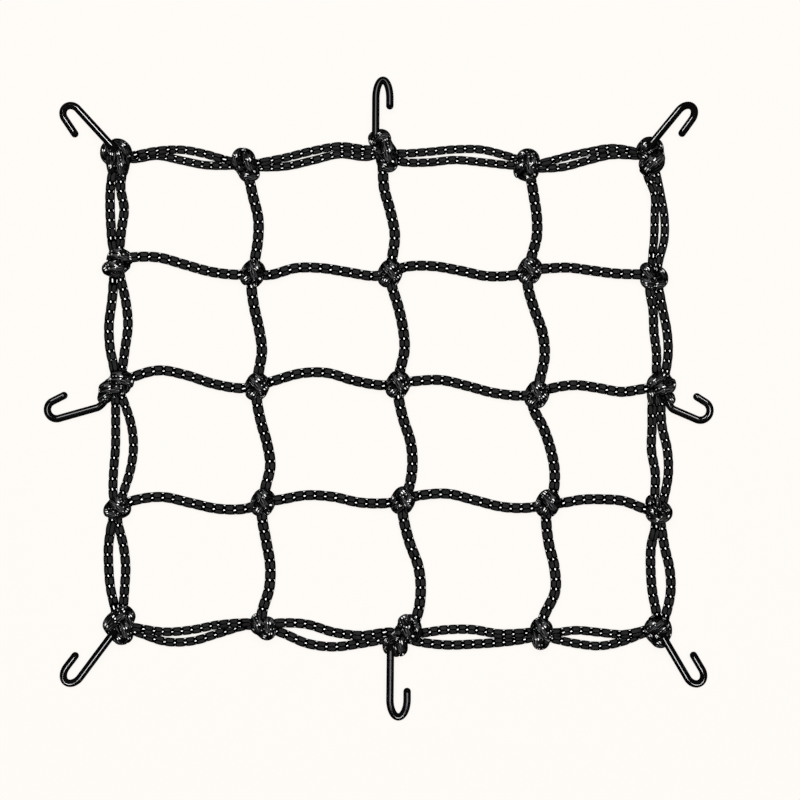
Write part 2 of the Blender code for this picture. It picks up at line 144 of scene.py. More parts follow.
# The same for the two strands of each border run: the upper or left strand,
# then the lower or right one, and the diameter to which the cord is drawn there.
Pair = namedtuple("Pair", "one two cord")
BORDER_RUNS = {
    "a1_a2": Pair(Bow(0.3, 3.2, 4.8, 3.5, 0.8), Bow(-1.4, 1.0, -0.5, -2.1, -1.7), 4.3),
    "a2_a3": Pair(Bow(-0.6, 1.0, 3.1, 4.0, 1.2), Bow(-2.8, -3.5, -1.8, 0.0, -2.6), 4.2),
    "a3_a4": Pair(Bow(-0.7, 1.5, 4.2, 5.5, 3.5), Bow(-4.8, -3.8, -1.1, -0.8, -0.9), 4.25),
    "a4_a5": Pair(Bow(0.5, 3.0, 5.0, 6.1, 3.7), Bow(-2.1, -1.9, 0.6, 2.6, 1.7), 4.15),
    "e1_e2": Pair(Bow(-1.2, -3.1, -1.8, 1.1, 2.5), Bow(-3.7, -7.9, -7.5, -3.3, 0.8), 4.4),
    "e2_e3": Pair(Bow(2.8, 2.8, -0.5, -1.4, 0.9), Bow(-1.8, -6.7, -7.8, -5.5, -2.5), 4.8),
    "e3_e4": Pair(Bow(0.6, 2.0, 1.8, -0.5, -0.3), Bow(-3.9, -5.6, -5.5, -4.9, -3.5), 4.75),
    "e4_e5": Pair(Bow(-0.7, -0.1, -1.6, -3.0, -1.4), Bow(-4.0, -6.8, -8.4, -6.8, -3.0), 4.45),
    "a1_b1": Pair(Bow(-2.0, -3.6, -3.6, -2.9, -1.5), Bow(2.0, 1.5, 3.4, 2.3, 1.4), 4.9),
    "b1_c1": Pair(Bow(-0.9, -1.9, -3.2, -2.4, 0.3), Bow(2.2, 5.0, 6.3, 5.0, 3.5), 4.9),
    "c1_d1": Pair(Bow(0.4, 0.2, -0.2, -1.4, -1.9), Bow(4.7, 8.0, 8.8, 6.9, 3.1), 4.65),
    "d1_e1": Pair(Bow(-2.6, -4.8, -5.1, -4.4, -2.1), Bow(0.0, 2.4, 3.4, 2.6, 1.5), 4.85),
    "a5_b5": Pair(Bow(-1.8, 1.5, 1.3, 0.5, -1.0), Bow(2.8, 4.7, 6.1, 5.6, 2.4), 4.35),
    "b5_c5": Pair(Bow(-2.8, -1.6, -1.6, -0.8, -1.3), Bow(1.7, 3.3, 4.9, 5.0, 3.0), 4.8),
    "c5_d5": Pair(Bow(-3.6, -3.5, -3.6, -1.5, -1.5), Bow(0.6, 1.5, 4.3, 5.0, 3.1), 4.8),
    "d5_e5": Pair(Bow(-1.1, -3.3, -3.5, -2.7, -0.7), Bow(1.7, 3.5, 6.0, 6.5, 4.3), 5.0),
}

# Hooks: where the straight shank begins, its heading, its length, the crown's
# half width across and rise along the heading, its sweep, the tip leg, the side it
# bends to (1 left, -1 right of the heading), and the hidden leg back into the knot.
Hook = namedtuple("Hook", "knot x y heading shank radius rise sweep tip side root_turn root")
HOOKS = [
    Hook("a1", -137.2, 130.5, 132.7, 19.7, 4.1, 4.8, 170, 9.3, 1, 0, 8.5),
    Hook("a3", -1.4, 135.9, 89.7, 14.2, 3.5, 9.3, 180, 3.7, -1, 0, 7.0),
    Hook("a5", 138.9, 130.4, 50.5, 17.9, 4.0, 5.8, 175, 8.5, -1, 0, 6.2),
    Hook("c1", -138.6, -4.0, -164.4, 22.2, 4.6, 4.6, 169, 6.5, -1, 42, 5.0),
    Hook("c5", 145.6, -4.7, -23.0, 14.8, 4.85, 4.85, 171, 5.2, 1, -48, 5.0),
    Hook("e1", -136.8, -123.0, -127.0, 20.7, 4.3, 6.3, 181, 7.1, -1, 0, 8.5),
    Hook("e3", 5.9, -132.3, -90.6, 18.3, 4.3, 8.8, 181, 4.0, 1, 0, 9.0),
    Hook("e5", 145.7, -125.0, -59.2, 17.4, 4.2, 5.4, 180, 8.4, 1, 0, 9.4),
]

# How the braid lies on a strand: degrees from the top to its first column, towards
# the right of the strand's way, mm from its first knot to a fleck of that column,
# and the length of one repeat, which grows where the cord is drawn tight.
Braid = namedtuple("Braid", "turn shift pitch")
BRAID = {
    "b1_b2": Braid(3, 1.3, 5.15),
    "b2_b3": Braid(9, 3.1, 5.20),
    "b3_b4": Braid(7, 3.4, 5.15),
    "b4_b5": Braid(1, 4.6, 5.20),
    "c1_c2": Braid(7, 0.9, 5.15),
    "c2_c3": Braid(8, 2.6, 5.20),
    "c3_c4": Braid(5, 1.8, 5.05),
    "c4_c5": Braid(5, 1.5, 4.90),
    "d1_d2": Braid(7, 2.5, 5.30),
    "d2_d3": Braid(6, 4.9, 5.30),
    "d3_d4": Braid(9, 3.3, 5.20),
    "d4_d5": Braid(3, 2.3, 5.20),
    "a2_b2": Braid(6, 2.1, 4.75),
    "b2_c2": Braid(0, 1.8, 5.00),
    "c2_d2": Braid(3, 4.6, 4.85),
    "d2_e2": Braid(2, 4.5, 5.00),
    "a3_b3": Braid(3, 1.4, 4.85),
    "b3_c3": Braid(2, 4.3, 4.90),
    "c3_d3": Braid(2, 1.8, 4.90),
    "d3_e3": Braid(4, 4.8, 5.05),
    "a4_b4": Braid(-4, 4.7, 4.95),
    "b4_c4": Braid(0, 0.6, 4.80),
    "c4_d4": Braid(-1, 3.7, 4.70),
    "d4_e4": Braid(-4, 3.3, 5.05),
    "a1_a2_one": Braid(-1, 0.3, 4.85),
    "a1_a2_two": Braid(24, 1.4, 4.60),
    "a2_a3_one": Braid(4, 3.7, 5.20),
    "a2_a3_two": Braid(24, 4.0, 5.15),
    "a3_a4_one": Braid(-4, 2.4, 4.85),
    "a3_a4_two": Braid(16, 3.7, 4.90),
    "a4_a5_one": Braid(-7, 3.0, 4.85),
    "a4_a5_two": Braid(16, 0.2, 5.25),
    "e1_e2_one": Braid(-3, 1.8, 4.90),
    "e1_e2_two": Braid(3, 2.5, 5.20),
    "e2_e3_one": Braid(-8, 1.1, 5.00),
    "e2_e3_two": Braid(-2, 1.6, 5.25),
    "e3_e4_one": Braid(0, 3.5, 4.70),
    "e3_e4_two": Braid(1, 4.1, 5.15),
    "e4_e5_one": Braid(6, 0.1, 5.00),
    "e4_e5_two": Braid(-3, 0.8, 4.90),
    "a1_b1_one": Braid(9, 3.8, 4.85),
    "a1_b1_two": Braid(-3, 3.9, 4.75),
    "b1_c1_one": Braid(10, 4.9, 5.00),
    "b1_c1_two": Braid(2, 4.1, 4.90),
    "c1_d1_one": Braid(3, 3.5, 5.25),
    "c1_d1_two": Braid(0, 0.3, 4.90),
    "d1_e1_one": Braid(6, 2.4, 5.30),
    "d1_e1_two": Braid(0, 3.6, 5.10),
    "a5_b5_one": Braid(-8, 2.9, 5.20),
    "a5_b5_two": Braid(-22, 3.6, 5.10),
    "b5_c5_one": Braid(-6, 1.6, 4.80),
    "b5_c5_two": Braid(-16, 3.2, 5.05),
    "c5_d5_one": Braid(-6, 3.8, 5.10),
    "c5_d5_two": Braid(-13, 3.4, 4.60),
    "d5_e5_one": Braid(-4, 4.0, 4.75),
    "d5_e5_two": Braid(-2, 3.7, 4.90),
}

# The closed turns of cord in a knot: the middle of the turn from the knot's point,
# its heading over the top, half its length, the heights of its centreline over
# and under the knot, how far its ends swing to the right of its middle, how far
# its top leans to the right of its underside, its half width and half thickness,
# mm from the middle of its top to a fleck, and degrees to that column.
Turn = namedtuple("Turn", "dx dy heading half top low bend lean wide thick fleck column")
MESH_TURNS = [
    Turn(1.1, 1.6, -50, 6.0, 8.5, 3.0, 0.0, 0.2, 3.4, 2.3, -0.7, -10),
    Turn(-2.2, -3.2, 53, 5.0, 7.4, 2.7, 0.0, 0.0, 3.0, 2.2, -0.4, 8),
    Turn(4.0, 3.4, -48, 3.8, 6.9, 3.2, 0.4, 0.0, 2.1, 2.0, 1.2, 20),
    Turn(-3.2, 3.3, 50, 3.8, 6.9, 3.2, 0.0, 0.0, 2.3, 2.0, 0.9, 0),
    Turn(2.6, -3.6, -68, 4.2, 6.8, 3.0, 0.0, 0.0, 2.5, 2.0, 1.9, 0),
]
KNOT_TURNS = {
    "a1": [
        Turn(3.6, 4.0, -51, 5.4, 7.6, 2.8, 1.6, 0.0, 2.7, 2.3, -0.8, 0),
        Turn(-7.0, 1.6, 92, 4.6, 7.0, 2.8, 1.5, 0.0, 2.6, 2.2, 0.5, 0),
        Turn(-3.4, -3.6, -97, 5.2, 8.2, 2.8, 0.0, 0.0, 2.5, 2.3, 2.0, 0),
        Turn(1.8, -4.8, -77, 6.4, 7.9, 2.8, 0.0, 0.0, 2.9, 2.3, 0.2, 6),
        Turn(5.2, -1.6, -76, 4.6, 6.8, 2.8, 0.0, 0.0, 2.1, 2.1, -1.2, 0),
    ],
    "a2": [
        Turn(-3.6, 2.4, -82, 5.0, 7.8, 2.8, -1.8, 0.0, 2.6, 2.3, -0.9, -6),
        Turn(3.6, 0.4, -68, 5.2, 8.5, 2.8, -0.4, 0.0, 3.0, 2.3, -0.9, 0),
        Turn(2.2, 5.4, -22, 4.4, 7.0, 3.0, 1.2, 0.0, 2.2, 2.1, -1.6, -20),
        Turn(2.9, -6.2, -8, 4.8, 7.2, 2.8, -1.4, 0.0, 2.7, 2.2, -0.8, 4),
        Turn(0.2, -2.8, -6, 4.2, 6.8, 2.8, -0.6, 0.0, 2.3, 2.1, 2.4, 0),
    ],
    "a3": [
        Turn(-1.8, 7.2, 28, 5.4, 8.0, 2.8, 2.0, 0.0, 3.0, 2.3, 0.2, -8),
        Turn(2.9, -1.2, -72, 6.2, 8.5, 2.8, -0.9, 0.0, 3.3, 2.4, -0.6, 0),
        Turn(1.6, -8.2, -18, 5.0, 7.2, 2.8, -1.2, 0.0, 2.9, 2.2, -0.8, 0),
        Turn(6.0, 0.0, -70, 4.8, 6.9, 2.8, 0.0, 0.0, 2.1, 2.1, 1.4, 0),
        Turn(-2.2, -0.2, -14, 4.6, 7.2, 2.6, 0.0, 0.0, 2.6, 2.3, -2.3, 0),
        Turn(-0.8, -4.6, -50, 4.0, 6.8, 2.6, 0.0, 0.0, 2.5, 2.2, 1.0, 0),
    ],
    "a4": [
        Turn(0.4, 6.2, 0, 5.6, 7.4, 2.8, 3.0, 0.0, 2.5, 2.2, -2.0, 0),
        Turn(2.6, 0.2, -76, 5.8, 8.5, 2.8, -0.5, 0.0, 3.2, 2.4, -0.2, 0),
        Turn(-3.0, -0.4, 60, 4.9, 7.8, 2.8, 0.0, 0.0, 3.0, 2.2, 0.4, 8),
        Turn(1.2, -5.8, -10, 4.8, 7.2, 2.8, -1.4, 0.0, 2.7, 2.2, -0.4, 14),
        Turn(-2.4, -3.8, -48, 3.8, 6.9, 2.8, 0.0, 0.0, 2.2, 2.0, 1.3, 0),
    ],
    "a5": [
        Turn(-3.4, 5.8, 50, 5.4, 7.5, 2.8, 0.0, 0.0, 3.0, 2.2, 1.0, 0),
        Turn(5.6, 6.2, -66, 4.4, 7.2, 2.8, 0.6, 0.0, 2.4, 2.2, 0.4, 0),
        Turn(2.4, 4.0, 25, 3.6, 7.4, 2.8, 0.0, 0.0, 1.8, 2.1, 2.2, 0),
        Turn(1.8, -1.4, 42, 6.6, 8.5, 2.8, 0.3, 0.0, 3.5, 2.4, 0.2, 10),
        Turn(-3.2, 0.8, -30, 4.4, 7.5, 2.8, 0.0, 0.0, 2.8, 2.2, 0.4, 0),
        Turn(-1.2, -5.4, 38, 4.6, 7.0, 2.8, 0.0, 0.0, 2.5, 2.2, -1.0, 0),
    ],
    "b1": [
        Turn(1.6, 4.0, -10, 6.2, 8.4, 2.8, 1.6, 0.0, 2.9, 2.3, 0.2, 0),
        Turn(-0.8, -2.2, 12, 6.2, 8.0, 2.8, 0.8, 0.0, 3.3, 2.3, 0.9, 4),
        Turn(4.6, -2.2, -72, 4.6, 7.0, 2.8, 0.0, 0.0, 2.5, 2.1, 1.2, 0),
        Turn(-2.6, -5.0, -15, 4.2, 6.8, 2.8, -0.4, 0.0, 2.4, 2.1, 0.0, 0),
    ],
    "b5": [
        Turn(-3.0, 1.6, -52, 5.2, 7.8, 2.8, 0.0, 0.0, 3.0, 2.2, -1.4, 0),
        Turn(0.2, -4.6, 4, 6.6, 7.8, 2.8, -2.2, 0.0, 3.0, 2.3, 0.4, 10),
        Turn(4.2, 0.8, -60, 4.8, 7.4, 2.8, 0.4, 0.0, 2.6, 2.2, -0.9, 0),
        Turn(0.6, 1.8, -72, 4.2, 7.1, 2.8, 0.0, 0.0, 2.4, 2.2, -1.0, 0),
        Turn(1.6, -1.6, 28, 3.4, 7.3, 2.8, 0.0, 0.0, 1.8, 2.1, 2.2, 0),
    ],
    "c1": [
        Turn(3.8, 5.2, -8, 6.2, 8.4, 2.8, 1.6, 0.0, 3.2, 2.3, 0.0, 0),
        Turn(-1.4, 0.2, 8, 6.4, 8.0, 2.8, 1.0, 0.0, 3.4, 2.3, -0.4, 0),
        Turn(-5.2, -4.7, 32, 3.6, 7.0, 2.8, 0.0, 0.0, 2.4, 2.2, 0.9, 0),
        Turn(5.0, -1.4, -104, 5.2, 7.3, 2.8, 0.0, 0.0, 2.7, 2.2, 1.6, 0),
        Turn(1.2, -4.4, -80, 4.0, 6.8, 2.8, 0.0, 0.0, 2.2, 2.1, 1.6, 0),
    ],
    "c5": [
        Turn(-2.2, 4.4, 38, 6.0, 8.0, 2.8, 1.4, 0.0, 3.0, 2.3, -0.9, 6),
        Turn(2.6, 0.4, 18, 6.0, 8.5, 2.8, 0.4, 0.0, 3.3, 2.4, -0.9, 2),
        Turn(-4.4, -3.2, -80, 5.6, 7.1, 2.8, 0.0, 0.0, 2.7, 2.2, 0.0, 0),
        Turn(-0.9, -5.6, -78, 4.4, 7.4, 2.8, 0.0, 0.0, 2.4, 2.2, -2.6, 0),
        Turn(5.0, -5.0, -52, 3.4, 6.8, 2.8, 0.0, 0.0, 2.2, 2.1, 0.8, 0),
    ],
    "d1": [
        Turn(1.2, 1.8, -36, 6.0, 8.5, 2.8, 0.5, 0.0, 3.2, 2.3, -0.6, -6),
        Turn(-2.8, -1.9, -8, 4.6, 7.7, 2.8, 0.6, 0.0, 2.8, 2.2, -1.6, 10),
        Turn(2.6, -3.2, 40, 4.4, 7.2, 2.8, 0.0, 0.0, 2.6, 2.2, 1.3, 0),
        Turn(-3.4, 2.8, 40, 4.0, 6.8, 2.8, 0.0, 0.0, 2.3, 2.1, 0.8, 0),
    ],
    "d5": [
        Turn(-4.4, 4.4, -72, 4.4, 7.4, 2.8, -0.6, 0.0, 2.6, 2.2, 0.0, 0),
        Turn(-2.9, 0.4, -38, 5.2, 8.2, 2.8, 0.0, 0.0, 2.7, 2.2, -0.3, 0),
        Turn(0.9, -2.8, 14, 6.4, 8.2, 2.8, -1.2, 0.0, 3.1, 2.3, -1.4, 10),
        Turn(4.6, 1.6, -55, 4.2, 7.1, 2.8, 0.6, 0.0, 2.5, 2.2, 0.6, 0),
        Turn(0.6, 3.0, -86, 4.0, 6.9, 2.8, 0.0, 0.0, 2.5, 2.1, 1.4, 0),
    ],
    "e1": [
        Turn(-2.4, 3.6, 42, 7.8, 8.5, 2.8, 0.8, 0.0, 3.4, 2.4, 0.2, -6),
        Turn(5.8, 3.8, -62, 4.8, 7.5, 2.8, 0.8, 0.0, 2.8, 2.2, -0.8, 0),
        Turn(3.2, -2.0, -68, 5.8, 8.0, 2.8, 0.3, 0.0, 3.0, 2.3, -0.6, 0),
        Turn(-0.9, -5.8, -60, 4.8, 7.1, 2.8, 0.0, 0.0, 2.8, 2.2, 0.8, 0),
        Turn(-6.2, -2.4, 70, 4.4, 6.9, 2.8, 0.0, 0.0, 2.4, 2.1, 0.8, 0),
        Turn(3.8, -6.2, 40, 3.8, 6.8, 2.8, 0.0, 0.0, 2.4, 2.1, 0.8, 0),
    ],
    "e2": [
        Turn(-2.4, 2.2, -66, 5.6, 8.0, 2.8, -0.4, 0.0, 3.0, 2.3, 0.4, 0),
        Turn(3.6, 0.2, -82, 5.8, 8.3, 2.8, -0.6, 0.0, 2.9, 2.3, -2.2, 4),
        Turn(0.6, -3.8, -30, 4.6, 7.5, 2.8, -0.4, 0.0, 2.7, 2.2, 0.4, 0),
        Turn(-4.4, -0.2, -50, 4.0, 6.8, 2.8, 0.0, 0.0, 2.3, 2.1, 0.4, 0),
    ],
    "e3": [
        Turn(2.2, 3.4, -62, 7.0, 8.6, 2.8, 0.0, 0.0, 3.4, 2.4, -0.9, -4),
        Turn(-9.4, -3.8, 66, 4.6, 7.2, 2.8, 1.0, 0.0, 2.4, 2.1, 1.2, -14),
        Turn(-0.9, -5.2, -82, 5.6, 7.8, 2.8, -0.6, 0.0, 2.8, 2.2, -1.6, 8),
        Turn(-4.3, -5.4, -84, 4.6, 6.9, 2.8, 0.0, 0.0, 2.1, 2.1, 0.6, 12),
        Turn(-4.8, 2.0, 8, 4.6, 7.4, 2.8, 0.0, 0.0, 2.4, 2.2, -1.2, 0),
        Turn(-4.4, -2.0, 22, 4.0, 7.2, 2.8, 0.3, 0.0, 2.2, 2.2, 0.8, 0),
        Turn(5.7, 3.3, -64, 6.3, 8.2, 2.8, 0.0, 0.0, 2.8, 2.3, 0.6, 0),
    ],
    "e4": [
        Turn(1.3, 2.0, -52, 6.4, 8.5, 2.8, 0.0, 0.0, 3.3, 2.4, -0.4, -6),
        Turn(-1.8, -3.8, -80, 5.6, 7.9, 2.8, 0.4, 0.0, 3.1, 2.3, -0.4, 4),
        Turn(3.2, -4.4, 60, 4.6, 7.0, 2.8, 0.0, 0.0, 2.5, 2.2, 0.6, 0),
        Turn(-3.8, 2.8, 50, 4.2, 6.9, 2.8, 0.0, 0.0, 2.4, 2.1, 0.8, 0),
    ],
    "e5": [
        Turn(-1.8, 1.6, 38, 6.2, 8.5, 2.8, 0.0, 0.0, 3.3, 2.3, -0.2, -4),
        Turn(1.4, -2.2, 42, 5.8, 7.9, 2.8, 0.0, 0.0, 2.6, 2.2, 1.8, 0),
        Turn(-4.2, -3.8, -55, 4.8, 7.3, 2.8, 0.0, 0.0, 2.6, 2.2, 0.4, 0),
        Turn(5.0, 0.4, -70, 5.8, 7.4, 2.8, 0.4, 0.0, 2.7, 2.2, -0.6, 0),
        Turn(-0.4, -7.2, -30, 4.4, 7.0, 2.8, 0.0, 0.0, 2.6, 2.2, 0.6, 0),
        Turn(1.4, 4.6, -20, 5.0, 7.8, 2.8, 0.8, 0.0, 2.4, 2.2, 1.2, 0),
    ],
}

# The rounded lobes that a knot is drawn into: offset from the knot's point, half
# widths before turning, and the turn in degrees.
Lobe = namedtuple("Lobe", "dx dy rx ry turn")
MESH_LOBES = [Lobe(-0.1, -0.3, 6.1, 7.3, -25)]
LOBES = {
    "a1": [Lobe(-1.0, 1.0, 8.2, 7.5, 0), Lobe(0.0, -5.5, 5.8, 6.5, 0)],
    "a2": [Lobe(0.2, 0.8, 6.2, 7.0, 0), Lobe(2.9, -5.2, 5.6, 5.0, 0)],
    "a3": [Lobe(-2.0, 6.0, 6.0, 4.7, 0), Lobe(2.0, -3.6, 5.8, 8.0, 8)],
    "a4": [Lobe(1.0, 2.0, 6.2, 6.5, 0), Lobe(0.1, -2.5, 6.6, 6.1, 0)],
    "a5": [Lobe(0.0, 4.0, 7.0, 6.8, 0), Lobe(0.9, -2.4, 7.3, 6.4, 25)],
    "b1": [Lobe(1.9, 1.1, 6.6, 6.0, 0), Lobe(-1.2, -3.1, 6.0, 4.7, 0)],
    "b5": [Lobe(-0.5, -1.7, 7.1, 6.4, 0), Lobe(-4.0, 2.5, 3.9, 4.1, 0)],
    "c1": [Lobe(3.8, 3.3, 6.2, 6.5, 0), Lobe(-1.1, 0.0, 6.7, 4.8, 0), Lobe(-4.6, -4.6, 3.9, 3.6, 0)],
    "c5": [Lobe(0.6, 1.8, 7.4, 6.2, 0), Lobe(-2.5, -3.5, 4.2, 5.2, 0), Lobe(5.0, -5.0, 3.0, 3.6, 0)],
    "d1": [Lobe(1.0, 0.2, 6.2, 5.6, 0), Lobe(-2.4, -1.2, 4.6, 4.6, 0)],
    "d5": [Lobe(0.5, -0.2, 6.8, 5.8, 0), Lobe(-3.0, 4.5, 3.4, 4.2, 0)],
    "e1": [Lobe(-0.5, 2.5, 9.0, 6.0, 35), Lobe(0.5, -4.5, 6.2, 5.5, 0)],
    "e2": [Lobe(-2.5, 2.0, 4.2, 5.5, 0), Lobe(1.8, -0.2, 5.0, 6.0, 0)],
    "e3": [Lobe(2.6, 3.4, 6.8, 7.3, 0), Lobe(-4.2, -5.2, 6.6, 6.0, 0)],
    "e4": [Lobe(0.5, 1.2, 6.0, 6.2, 0), Lobe(-0.2, -3.2, 5.0, 5.8, 0)],
    "e5": [Lobe(0.0, -1.5, 7.0, 7.5, 0), Lobe(1.0, -7.0, 4.5, 4.0, 0)],
}

# How a mesh knot is turned against the pattern, and its flecks shifted.
Spin = namedtuple("Spin", "spin fleck")
MESH_SPIN = {
    "b2": Spin(-20, -0.2),
    "b3": Spin(0, 0.0),
    "b4": Spin(2, -1.2),
    "c2": Spin(4, -0.3),
    "c3": Spin(-5, -0.3),
    "c4": Spin(-4, -1.3),
    "d2": Spin(-3, -0.6),
    "d3": Spin(-4, 3.0),
    "d4": Spin(2, 1.6),
}
# ------------------------------------------------------------------ light
# One wide soft light overhead, and small soft ones that each draw the gleam along
# one hook: direction and way down from the zenith in degrees, size level and upright
# in metres, watts, and the heading of the wire that a strip light lies across.
Gleam = namedtuple("Gleam", "knot azimuth off_zenith wide tall watts across")
GLEAMS = [
    Gleam("a1", 115.6, 34.7, 0.50, 0.16, 12.0, 132.7),
    Gleam("a3", 91.2, 32.0, 1.10, 0.36, 5.6, None),
    Gleam("a5", 95.3, 49.2, 0.34, 0.34, 14.0, None),
    Gleam("c1", 138.0, 42.0, 0.50, 0.80, 13.5, None),
    Gleam("c1", 196.0, 11.0, 0.40, 0.40, 9.0, None),
    Gleam("c5", 32.0, 43.4, 0.50, 0.34, 15.0, None),
    Gleam("c5", 337.0, 11.0, 0.50, 0.50, 30.0, None),
    Gleam("c5", 100.0, 40.0, 1.60, 0.30, 50.0, None),
    Gleam("e1", 243.7, 31.7, 0.50, 0.12, 6.3, 233.0),
    Gleam("e1", 234.0, 40.5, 0.60, 0.30, 22.0, None),
    Gleam("e3", 250.2, 29.8, 0.34, 0.24, 1.8, None),
    Gleam("e3", 299.2, 32.6, 0.34, 0.24, 3.4, None),
    Gleam("e3", 274.0, 37.0, 0.50, 0.30, 20.0, None),
    Gleam("e5", 278.9, 35.5, 0.50, 0.12, 6.6, 300.8),
    Gleam("e5", 302.0, 40.5, 0.60, 0.30, 22.0, None),
]
OVERHEAD = 140.0

PLACE = {k.name: np.array((k.x, k.y, 0.0)) for k in KNOTS}
UP = np.array((0.0, 0.0, 1.0))


# ------------------------------------------------------------------ curves
def hermite(at, values, t):
    """A smooth curve through values given at rising places."""
    at, values = np.array(at), np.array(values)
    last = len(at) - 1
    lo = np.maximum(np.arange(len(at)) - 1, 0)
    hi = np.minimum(np.arange(len(at)) + 1, last)
    slope = (values[hi] - values[lo]) / (at[hi] - at[lo])
    i = np.clip(np.searchsorted(at, t, side="left") - 1, 0, last - 1)
    width = at[i + 1] - at[i]
    u = np.clip((t - at[i]) / width, 0.0, 1.0)
    return (
        values[i] * (2 * u**3 - 3 * u**2 + 1)
        + slope[i] * width * (u**3 - 2 * u**2 + u)
        + values[i + 1] * (3 * u**2 - 2 * u**3)
        + slope[i + 1] * width * (u**3 - u**2)
    )


def ease(x):
    x = np.clip(x, 0.0, 1.0)
    return x * x * (3 - 2 * x)


def near_knot(t, reach=0.42):
    """1 at a knot, 0 once the cord has come down to the surface."""
    return ease(1.0 - np.minimum(t, 1.0 - t) / reach)


def run_plan(run, bow, t, end_share=0.0):
    """Plan positions along a run between two named knots."""
    first, second = run.split("_")
    a, b = PLACE[first], PLACE[second]
    off = hermite((0.0, *BOW_AT, 1.0), (bow[0] * end_share, *bow, bow[-1] * end_share), t)
    p = a + (b - a) * t[:, None]
    p[:, 1 if first[0] == second[0] else 0] += off
    return p


def mesh_run(run, bow, cord):
    t = np.linspace(0.0, 1.0, 161)
    p = run_plan(run, bow, t)
    rest = cord / 2 + 0.05
    reach = np.linalg.norm(PLACE[run[3:]] - PLACE[run[:2]])
    p[:, 2] = rest + (KNOT_EXIT - rest) * near_knot(t) - 1.5 * ease((7.0 - np.minimum(t, 1 - t) * reach) / 4.0)
    return p


def border_run(run, pair):
    """The two strands: the second lies on the surface, the first beside it or on it."""
    t = np.linspace(0.0, 1.0, 161)
    lower = run_plan(run, pair.two, t, 0.4)
    lower[:, 2] = pair.cord / 2 + 0.05 + 0.6 * near_knot(t)
    upper = run_plan(run, pair.one, t, 0.4)
    apart = np.linalg.norm(upper[:, :2] - lower[:, :2], axis=1)
    lift = np.sqrt(np.maximum(pair.cord**2 - apart**2, 0.0))
    upper[:, 2] = lower[:, 2] + smooth(lift, 7)
    reach = np.linalg.norm(PLACE[run[3:]] - PLACE[run[:2]])
    inside = ease((11.0 - np.minimum(t, 1 - t) * reach) / 5.0)
    for p in (lower, upper):
        p[:, 2] += (2.8 - p[:, 2]) * inside
    return upper, lower


def smooth(values, rounds):
    values = values.copy()
    for _ in range(rounds):
        values[1:-1] = (values[:-2] + 2 * values[1:-1] + values[2:]) / 4
    return values


def along(points, closed=False):
    """Distance of each point from the first one, and the whole length."""
    ends = np.vstack([points, points[:1]]) if closed else points
    steps = np.linalg.norm(np.diff(ends, axis=0), axis=1)
    s = np.concatenate([[0.0], np.cumsum(steps)])
    return s, s[-1]


def frames(points, hint, closed=False):
    """Sideways and outward directions of a cord at its points."""
    if closed:
        ahead = np.roll(points, -1, axis=0) - np.roll(points, 1, axis=0)
    else:
        ahead = np.gradient(points, axis=0)
    ahead /= np.linalg.norm(ahead, axis=1)[:, None]
    side = np.cross(ahead, UP) if hint is None else np.tile(hint, (len(points), 1))
    side = side - ahead * np.sum(side * ahead, axis=1)[:, None]
    side /= np.linalg.norm(side, axis=1)[:, None]
    return side, np.cross(side, ahead)


def relief(u, v):
    """Height of the braid at its counts u and v, in mm."""

    def pillow(x, y, wide, tall):
        q = ((x / wide) ** 4 + (y / tall) ** 4) ** 0.25
        return 1.0 - ease((q - 0.55) / 0.5)

    plait = pillow(np.abs(u - np.floor(u) - 0.5), np.abs(v - np.floor(v) - 0.5), 0.46, 0.36)
    fleck = pillow(np.abs(u - np.round(u)), np.abs(v - np.round(v)), 0.27, 0.20)
    return np.maximum(plait * PLAIT, fleck * FLECK) - PLAIT * 0.6


# ------------------------------------------------------------------ pieces
Skin = namedtuple("Skin", "start rings closed wide s length")


